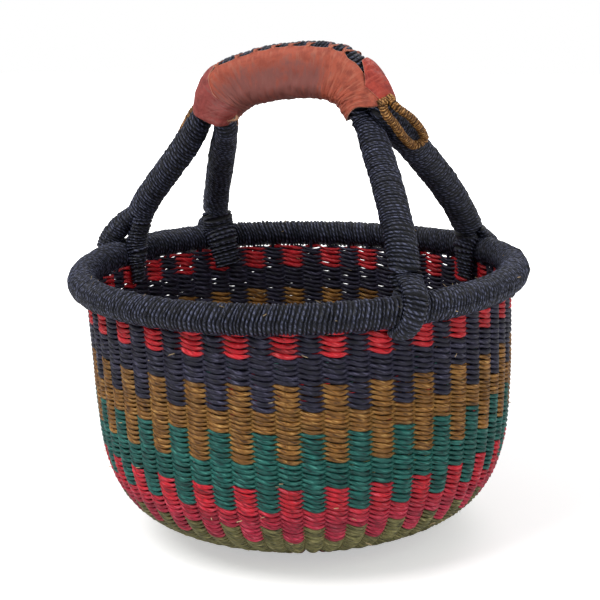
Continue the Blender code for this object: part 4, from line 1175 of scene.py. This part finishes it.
def build_sleeve():
    """Sleeve with its two scalloped edges on top, gathered below, creased and slit at the right, with painted shade
    in the hollows of its folds, in the crease and in the slit.
    """
    share, w = np.meshgrid(SLEEVE_START + (1 - SLEEVE_START) * graded(SLEEVE_SHARES), graded(SLEEVE_TURNS),
                           indexing="ij")
    edge = EDGE_VALLEY + EDGE_SPREAD * ramp(np.abs(share), 0, 0.4)
    for place in LACE_POINTS:
        edge = edge - EDGE_PEAK * np.exp(-np.abs(share - place) / PEAK_WIDTH)
    edge = edge + 0.012 * waver(share * 9, 0 * share, 3.5) + 0.02 * hill(share, 0.53, 0.04)
    round_way = edge + w * (2 - edge - np.roll(edge, 9, axis=0))
    turn = np.where(round_way <= 1, -round_way, 2 - round_way)
    away = np.abs(turn)
    along, across = share * GRIP_LENGTH, turn * HALF_ROUND
    lift, fold = gathers(along, across, sleeve_fullness(turn))
    crease_line = hill(share, CREASE_PLACE + 0.14 * (away - 0.25), CREASE_WIDTH) * (turn < 0)
    crease_line *= ramp(away, 0.2, 0.3) * (1 - ramp(away, 0.7, 0.8))
    slit = hill(share, np.interp(turn, *FLAP_EDGE) - 0.016, 0.012) * hill(turn, -0.245, 0.055) * (turn < 0)
    lift += 0.35 * MM * pucker(share, turn, 6) * (turn < 0) - CREASE_DEPTH * crease_line - SLIT_DEPTH * slit
    # Painted shade: the hollows of the folds, the crease and the slit are darkened as well as sunk into the sheet.
    fold = np.clip(fold + 0.32 * crease_line + 1.8 * slit, 0, 1.6)
    edge_near = ramp(np.minimum(w, 1 - w), 0, 0.05)
    outside = LEATHER_FIT + LEATHER_THICKNESS * (0.62 + 0.38 * edge_near) + lift * (0.4 + 0.6 * edge_near)
    sleeve = leather_sheet("leather_sleeve_skin", share, turn, np.minimum(LEATHER_FIT, outside - 0.7 * MM), outside,
                           dark_underside_share(share, turn), fold, TERRACOTTA)
    dress(sleeve, "basket", "terracotta_leather", "leather_sleeve")


build_sleeve()
print("sleeve:", SLEEVE_SHARES, "by", SLEEVE_TURNS, "places")

# %% Left cap and right flap
CAP_EDGE = ([-0.87, -0.52, -0.45, -0.34, -0.24, -0.15, 0, 0.8],
            [-0.72, -0.765, -0.76, -0.72, -0.68, -0.62, -0.62, -0.7])
CAP_TURNS = (-0.87, 0.81)
CAP_END = -1.012
FLAP_END = 1.004
FLAP_FRONT = (0.31, 0.19)
FLAP_BACK = 0.6


def build_cap():
    """Maroon cap on the left end, with a few slack folds where it is pinned under the grip."""
    k, t = np.meshgrid(graded(90), graded(150), indexing="ij")
    turn = CAP_TURNS[0] + (CAP_TURNS[1] - CAP_TURNS[0]) * t
    start = np.interp(turn, *CAP_EDGE)
    share = start + (CAP_END - start) * k
    along, across = share * GRIP_LENGTH, turn * HALF_ROUND
    slack = waver((along + 0.7 * across) / 6, (along - 0.7 * across) / 24, 4.5)
    crease = (1 - ramp(np.abs(slack), 0, 0.09)) * ramp(np.abs(turn), 0.2, 0.5)
    broad = waver(along / 15, across / 17, 9.5)
    edge_near = np.clip(np.minimum(k * 14, (1 - k) * 10), 0, 1)
    lift = (0.3 * slack + 0.45 * broad - 0.28 * crease) * MM * edge_near
    lost = ramp(-turn, 0.46, 0.56)
    near_seam = 1 - ramp(k, 0, 0.4)
    follow, fold = gathers(along, across, sleeve_fullness(turn))
    over_rope = 1 - ramp(np.abs(turn), 0.16, 0.26)
    past_sleeve = ramp(-share, 0.88, 0.96)
    base = LEATHER_FIT + LEATHER_THICKNESS - 1.9 * MM * over_rope * near_seam - 1.3 * MM * past_sleeve
    cover = 0.35 * MM + CAP_THICKNESS * (0.5 + 0.5 * edge_near) + lift
    outside = base + cover * (1 - lost * near_seam) + (follow + 0.14 * MM) * lost * near_seam
    wear = dark_underside_share(share, turn) * (0.6 + 0.4 * lost * near_seam) * (np.abs(turn) > 0.24)
    # Painted shade: darker in the cap's creases, and in the hollows of the sleeve's folds where the cap follows them.
    cap = leather_sheet("left_cap_skin", share, turn, np.minimum(base - 0.9 * MM, outside - 0.6 * MM), outside,
                        wear, crease * 0.6 * (1 - lost) + fold * lost, MAROON, 1 - 0.9 * lost * (k < 0.5))
    dress(cap, "basket", "maroon_leather", "left_leather_cap")


def build_flap():
    """Redder flap over the right end, pinned at its left corner."""
    k, t = np.meshgrid(graded(110), graded(130), indexing="ij")
    front = FLAP_FRONT[0] + (FLAP_FRONT[1] - FLAP_FRONT[0]) * k
    turn = -front + (FLAP_BACK + front) * t
    start = np.interp(-FLAP_FRONT[0] + (FLAP_BACK + FLAP_FRONT[0]) * t, *FLAP_EDGE)
    share = start + (FLAP_END - start) * k
    along, across = share * GRIP_LENGTH, turn * HALF_ROUND
    edge_near = np.clip(np.minimum.reduce([k * 12, (1 - k) * 12, t * 14]), 0, 1)
    folds = pucker(share, turn, 11) * (turn < 0.1)
    broad = waver(along / 13, across / 15, 6.5)
    fine = waver(along / 3, across / 9, 7.5)
    lift = (0.55 * folds + 0.35 * broad + 0.1 * fine) * MM
    lifted = 0.2 * MM * hill(turn, PIN_TURN, 0.05) * np.exp(-k * 9)
    base = LEATHER_FIT + LEATHER_THICKNESS
    outside = base + 0.3 * MM + CAP_THICKNESS * (0.45 + 0.55 * edge_near) + lift * (0.3 + 0.7 * edge_near) + lifted
    outside -= 1.1 * MM * np.exp(-k * 5) * ramp(turn, -0.24, -0.14)
    # Painted shade: darker in the hollows of the puckered folds round the pin.
    flap = leather_sheet("right_flap_skin", share, turn, base - 0.9 * MM + lifted, outside,
                         0 * share, np.clip(-folds, 0, 1) * 0.7, REDDISH)
    dress(flap, "basket", "reddish_leather", "right_leather_flap")


build_cap()
build_flap()
print("cap and flap laid over the sleeve's ends")

# %% [markdown]
# ## Lacing and tie
#
# The thong is a flat strip cut from the same skin.  It comes up through a hole in one edge, crosses the rope
# at a slant and goes down through the other edge, so each crossing is a short band with both ends sunk.  The
# tie on the left is a thinner raw strip, curled and frayed where it was cut.

# %% Bands and strands
BAND_SECTION = [(1, 0), (0.85, 0.8), (0, 1), (-0.85, 0.8), (-1, 0), (-0.85, -0.8), (0, -1), (0.85, -0.8)]


def strip(path, normals, half_width, half_thick):
    """Rows of points round a flat strip along a path, each row closed and the end rows drawn in to a tip."""
    runs = np.gradient(path, axis=0)
    runs /= np.linalg.norm(runs, axis=1)[:, None]
    normals = normals - runs * np.sum(normals * runs, axis=1)[:, None]
    normals /= np.linalg.norm(normals, axis=1)[:, None]
    across = np.cross(runs, normals)
    section = np.array(BAND_SECTION)
    ends = np.ones(len(path))
    ends[[0, -1]] = 0.02
    return (path[:, None] + across[:, None] * section[None, :, :1] * (half_width * ends)[:, None, None]
            + normals[:, None] * section[None, :, 1:] * (half_thick * ends)[:, None, None])


END_QUADS = np.array([[0, 1, 2, 3], [0, 3, 4, 5], [0, 5, 6, 7]])


def join_strips(name, strips, finish, slot, *nodes):
    """One mesh of many strips, dressed on the basket."""
    skins = []
    for number, rows in enumerate(strips):
        count, sides = rows.shape[:2]
        quads = np.concatenate([quads_of(count, sides), END_QUADS, END_QUADS[:, ::-1] + (count - 1) * sides])
        along = lengths_along(rows.mean(axis=1))[:, None] / MM + number * 17
        side = np.arange(sides)[None, :] / sides
        values = {"along": along, "across": side * 6, "turn": side, "lot": (number * 0.37) % 1,
                  "wear": 0, "edge": 0, "fold": 0, "reach": 0}
        skins.append((rows, quads, values))
    dress(make_joined(name, skins, finish), "basket", slot, *nodes)


BAND_HEIGHTS = [0, 0.07, 0.17, 0.3, 0.5], [0.6, 2.3, 2.1, 0.2, -0.1]
BAND_TURN = 0.225
FIRST_BACK, LAST_BACK = -0.645, 0.53


def build_lacing():
    """Slanted bands over the open seam, from each point of the front edge to the back edge on both sides of it."""
    draws = np.random.default_rng(11)
    backs = [FIRST_BACK] + [(a + b) / 2 for a, b in zip(LACE_POINTS, LACE_POINTS[1:])] + [LAST_BACK]
    strips = []
    for number, place in enumerate(LACE_POINTS):
        for back in (backs[number], backs[number + 1]):
            t = np.linspace(0, 1, 40)
            share = place + (back - place) * t + draws.uniform(-0.004, 0.004)
            turn = BAND_TURN * (2 * t - 1)
            offset = np.interp(np.minimum(t, 1 - t), *BAND_HEIGHTS) * MM
            path = wrap_places(share, turn, offset)
            normals = wrap_places(share, turn, offset + MM) - path
            strips.append(strip(path, normals, draws.uniform(0.8, 1.1) * MM, 0.34 * MM))
    join_strips("seam_lacing_thong", strips, LACE, "leather_thong", "seam_lacing")
    return len(strips)


print("bands over the seam:", build_lacing())

# %% Tie
TIE_SHARE = -0.9
TIE_TURN = -0.88
TIE_STAND = 4.4 * MM
TIE_CURLS = [(-60, 300, 2.1, 4, 1.0), (100, -250, 1.5, 3, 1.6)]
TIE_FIBRES = 7


def build_tie():
    """Raw strip curled through the cap, its two ends frayed into single fibres."""
    draws = np.random.default_rng(12)
    seat = wrap_places(np.array([TIE_SHARE]), np.array([TIE_TURN]), np.array([TIE_STAND]))[0]
    upward = np.array(arch_point(TIE_SHARE)[1])
    outward = np.array([0, -1.0, 0])
    aside = np.cross(upward, outward)
    strips = []
    for turn_from, turn_by, radius, tail, climb in TIE_CURLS:
        angle = np.radians(turn_from + turn_by * np.linspace(0, 1, 36))
        curl = aside * np.cos(angle)[:, None] + upward * np.sin(angle)[:, None] * 0.8
        path = seat + curl * radius * MM + outward * (climb * MM * np.linspace(0, 1, 36) ** 2)[:, None]
        first, last = path[0] - path[1], path[-1] - path[-2]
        tails = np.linspace(0, 1, 12)[1:, None] * tail * MM
        bend = outward * (np.linspace(0, 1, 12)[1:, None] ** 2) * 1.2 * MM
        path = np.concatenate([(path[0] + first / np.linalg.norm(first) * tails - bend * 0.6)[::-1], path,
                               path[-1] + last / np.linalg.norm(last) * tails + bend])
        normals = np.tile(outward, (len(path), 1)) + 0.6 * np.sin(np.linspace(0, 9, len(path)))[:, None] * upward
        strips.append(strip(path, normals, 0.62 * MM, 0.26 * MM))
        for end, way in ((path[0], path[0] - path[3]), (path[-1], path[-1] - path[-4])):
            way = way / np.linalg.norm(way)
            for fibre in range(TIE_FIBRES):
                side = draws.normal(0, 0.45, 3)
                reach = draws.uniform(1.2, 3.0) * MM
                t = np.linspace(0, 1, 8)[:, None]
                line = end - way * 0.6 * MM + (way + side * t) * reach * t
                strips.append(strip(line, np.tile(outward, (8, 1)), 0.11 * MM, 0.09 * MM))
    join_strips("left_cap_tie_thong", strips, PALE_LACE, "pale_thong", "left_cap_tie")


build_tie()
print("tie curled and frayed")

# %% [markdown]
# ## Hanging loops
#
# At each end of the grip a loop of natural straw hangs from a small roll under the edge of the leather.  It
# is wound like the ropes, only finer, and it swings freely, so it rides on its own body.

# %% Loops
LOOP_CORD = 6.4 * MM
LOOP_LENGTH = 43 * MM
LOOP_HALF_WIDTH = 7 * MM
LOOP_ROLL = 6.2 * MM
LOOP_ROLL_LENGTH = 12.4 * MM
LOOP_STRAND_SPACE = 0.2 * MM
LOOP_SEAT_ANGLE = radians(52)
LOOP_SEAT_STEPS = 30
LOOP_OUTLINE_SHARES = [(0.2, 0.62), (0.42, 0.92), (0.64, 1.0), (0.84, 0.82), (0.96, 0.42)]
LOOP_POINTS = 90
LOOP_WRAP_PITCH = 2.0 * MM
LOOP_SWAY = 0.5
LOOP_WRAP_RIDGE = 0.75 * MM


def loop_seat(name, length, stand):
    """Point standing off a leg's rope at a length past the grip's end, with the ways out from it and along it."""
    leg = LEGS[name]
    level, side = leg["level"], leg["side"]
    before = [rope_arch_point(level, side * share) for share in np.linspace(CAP_START_SHARE, 1, LOOP_SEAT_STEPS)]
    after = [leg_point(name, share) for share in np.linspace(0, 1, LOOP_SEAT_STEPS)]
    path = np.array(before[:-1] + after)
    lengths = lengths_along(path)
    lengths -= lengths[LOOP_SEAT_STEPS - 1]
    spots = along_line(np.array([length - LOOP_CORD, length, length + LOOP_CORD]), lengths, path)
    run = (spots[2] - spots[0]) / np.linalg.norm(spots[2] - spots[0])
    rise = np.array([side * sin(ARCH_END_SLOPE), 0, cos(ARCH_END_SLOPE)])
    facing = rise * cos(LOOP_SEAT_ANGLE) + np.array([0, -side, 0]) * sin(LOOP_SEAT_ANGLE)
    facing -= run * np.dot(facing, run)
    facing /= np.linalg.norm(facing)
    return spots[1] + facing * (ROPE_DIAMETER / 2 + stand), facing, run


def loop_outline():
    """Outline of a hanging loop as (length, sideways), from one strand's root round to the other's."""
    root = LOOP_CORD / 2 + LOOP_STRAND_SPACE / 2
    half = [(0, root)] + [(along * LOOP_LENGTH, root + aside * (LOOP_HALF_WIDTH - root))
                          for along, aside in LOOP_OUTLINE_SHARES] + [(LOOP_LENGTH, 0)]
    line = smooth_line([(along, -aside) for along, aside in half] + half[-2::-1], 8)
    lengths = lengths_along(line)
    return along_line(np.linspace(0, lengths[-1], LOOP_POINTS), lengths, line)


def build_loop(node, body, leg, start, turned, seed):
    """One loop and the roll that it hangs from, both on the loop's own body."""
    stand = GAP + LOOP_ROLL / 2
    hinge, facing, run = loop_seat(leg, start, stand)
    axis = np.cross(run, facing)
    axis /= np.linalg.norm(axis)
    path = np.array([loop_seat(leg, start + along, stand)[0] + axis * (aside + along * turned)
                     for along, aside in loop_outline()])
    follow = (swayed(hinge[None])[0] - hinge) * LOOP_SWAY
    path, hinge = path + follow, hinge + follow
    across, upward = carried_frames(path, axis)
    sizes = np.full((len(path), 2), LOOP_CORD / 2)
    cord = wound_tube(node + "_binding", path, across, upward, sizes, LOOP_WRAP_PITCH, LOOP_WRAP_RIDGE, TAN, seed,
                      sides=28, slant=0.5)
    dress(cord, body, "tan_straw", node)
    ends = np.linspace(-0.5, 0.5, 30)[:, None] * LOOP_ROLL_LENGTH
    path = hinge + axis * ends
    across, upward = carried_frames(path, facing)
    roll = wound_tube(node + "_roll", path, across, upward, np.full((30, 2), LOOP_ROLL / 2), LOOP_WRAP_PITCH,
                      LOOP_WRAP_RIDGE, TAN, seed + 1, sides=28, slant=0.3)
    dress(roll, body, "tan_straw")


build_loop("left_hanging_loop", "left_loop", "left_front", 5.6 * MM, 0.12, 61)
build_loop("right_hanging_loop", "right_loop", "right_back", -4 * MM, 0.07, 63)
print("loops wound")

# %% [markdown]
# ## Stray ends
#
# Straw is short, so new blades are laid in all the time and their tips stick out, undyed where they broke.
# They are only hairs, yet without them the weave looks moulded.  Most are left on the inside of the bowl.

# %% Tips of straw
STRAY_INSIDE = 150
STRAY_OUTSIDE = 60
STRAY_RIM = 40


def build_stray_ends():
    """Short broken tips that stand off the wall, inside and outside, and off the rim."""
    draws = np.random.default_rng(21)
    strips = []
    for number in range(STRAY_INSIDE + STRAY_OUTSIDE + STRAY_RIM):
        angle = draws.uniform(0, tau)
        if number < STRAY_INSIDE + STRAY_OUTSIDE:
            inside = number < STRAY_INSIDE
            length = draws.uniform(ROWS[BASE_ROWS + 4][0], ROWS[-1][0])
            depth = WALL_THICKNESS - 0.4 * MM if inside else 0.4 * MM
            start = wall_place(np.array(length), depth, np.array(angle))
            out = np.array([np.cos(angle), np.sin(angle), 0]) * (-1 if inside else 1)
        else:
            round_rim = draws.uniform(-0.6, pi)
            out = np.array([np.cos(angle) * np.cos(round_rim), np.sin(angle) * np.cos(round_rim), np.sin(round_rim)])
            start = np.array([np.cos(angle), np.sin(angle), 0]) * RIM_RADIUS + np.array([0, 0, RIM_HEIGHT])
            start = start + out * (RIM_THICKNESS / 2 - 0.6 * MM)
        along = np.array([-np.sin(angle), np.cos(angle), draws.uniform(-0.5, 0.5)]) * draws.choice([-1, 1])
        reach = draws.uniform(2.0, 4.6) * MM
        t = np.linspace(0, 1, 7)[:, None]
        line = start + along * reach * t + out * (1.7 * MM * t + draws.uniform(-0.3, 0.9) * MM * t ** 2)
        strips.append(strip(line, np.tile(out, (7, 1)), draws.uniform(0.16, 0.34) * MM, 0.13 * MM))
    join_strips("stray_straw_ends", strips, STRAY, None)
    return len(strips)


STRAY = straw_finish("stray_straw", colour_of(150, 120, 80), colour_of(206, 180, 138), colour_of(240, 228, 200))
print("stray ends:", build_stray_ends())

# %% [markdown]
# ## Studio
#
# A pale floor, a white surround that only the camera sees at full strength, and three large soft lamps, so
# that the colours come out about as they are written.  The camera stands where the photograph was taken.

# %% Floor, light and camera
CAMERA_ELEVATION = radians(11.64)
CAMERA_ROLL = radians(1.66)
CAMERA_DISTANCE = 1.134
CAMERA_LENS = 92.64
CAMERA_SHIFT = -0.051
WORLD_LIGHT = 0.4
FLOOR_LIFT = 0.46
FLOOR_REACH = 4.0
FLOOR_DROP = 0.4 * MM
LAMPS = {
    "key": ((-0.9, -1.5, 2.3), 1.3, 44), "fill": ((1.9, -1.2, 1.1), 1.8, 14), "back": ((0.3, 1.8, 2.2), 1.6, 18),
}


def aim(thing, place, target, roll=0.0):
    """Stands a camera or lamp at a place, looking at a target."""
    direction = (Vector(target) - Vector(place)).to_track_quat("-Z", "Y").to_matrix().to_4x4()
    thing.matrix_world = Matrix.Translation(place) @ direction @ Matrix.Rotation(-roll, 4, "Z")


def build_studio():
    """Surround, lamps and camera."""
    scene = bpy.context.scene
    scene.view_settings.view_transform = "Standard"
    world = bpy.data.worlds.new("surround")
    world.use_nodes = True
    scene.world = world
    seen = Wire(world.node_tree).node("LightPath", {}, output=0)
    backdrop = world.node_tree.nodes["Background"]
    backdrop.inputs["Color"].default_value = (1, 1, 1, 1)
    strength = seen * (1 - WORLD_LIGHT) + WORLD_LIGHT
    world.node_tree.links.new(strength.socket, backdrop.inputs["Strength"])
    for name, (place, size, power) in LAMPS.items():
        lamp = bpy.data.lights.new(name, "AREA")
        lamp.size = size
        lamp.energy = power
        thing = bpy.data.objects.new(name, lamp)
        scene.collection.objects.link(thing)
        aim(thing, place, (0, 0, 0.15))
    camera = bpy.data.cameras.new("camera")
    camera.lens = CAMERA_LENS
    camera.shift_y = CAMERA_SHIFT
    view = bpy.data.objects.new("camera", camera)
    scene.collection.objects.link(view)
    scene.camera = view
    flat = CAMERA_DISTANCE * cos(CAMERA_ELEVATION)
    target = Vector((0, 0, RIM_HEIGHT))
    place = target + Vector((flat * sin(CAMERA_AZIMUTH), -flat * cos(CAMERA_AZIMUTH),
                             CAMERA_DISTANCE * sin(CAMERA_ELEVATION)))
    aim(view, place, target, CAMERA_ROLL)


def build_floor():
    """Pale floor that only darkens where the basket keeps the light off it."""
    made, wire, inputs = new_finish("studio_floor", Base_Color=(0.93, 0.93, 0.93, 1), Roughness=0.9,
                                    Emission_Strength=1.0)
    seen = wire.node("LightPath", {}, output=0)
    place = wire.node("NewGeometry", {})
    away = wire.node("VectorMath", {"operation": "LENGTH"}, place, output=1)
    lift = seen * (FLOOR_LIFT + away.clamped(0.5, 1.3))
    feed(inputs, Emission_Color=wire.at(lift, lift, lift))
    mesh = bpy.data.meshes.new("floor")
    corners = [(-1, -1), (1, -1), (1, 1), (-1, 1)]
    mesh.from_pydata([(x * FLOOR_REACH, y * FLOOR_REACH, -FLOOR_DROP) for x, y in corners], [], [(0, 1, 2, 3)])
    mesh.materials.append(made)
    floor = bpy.data.objects.new("floor", mesh)
    bpy.context.scene.collection.objects.link(floor)


build_studio()
build_floor()
print("lamps:", list(LAMPS))
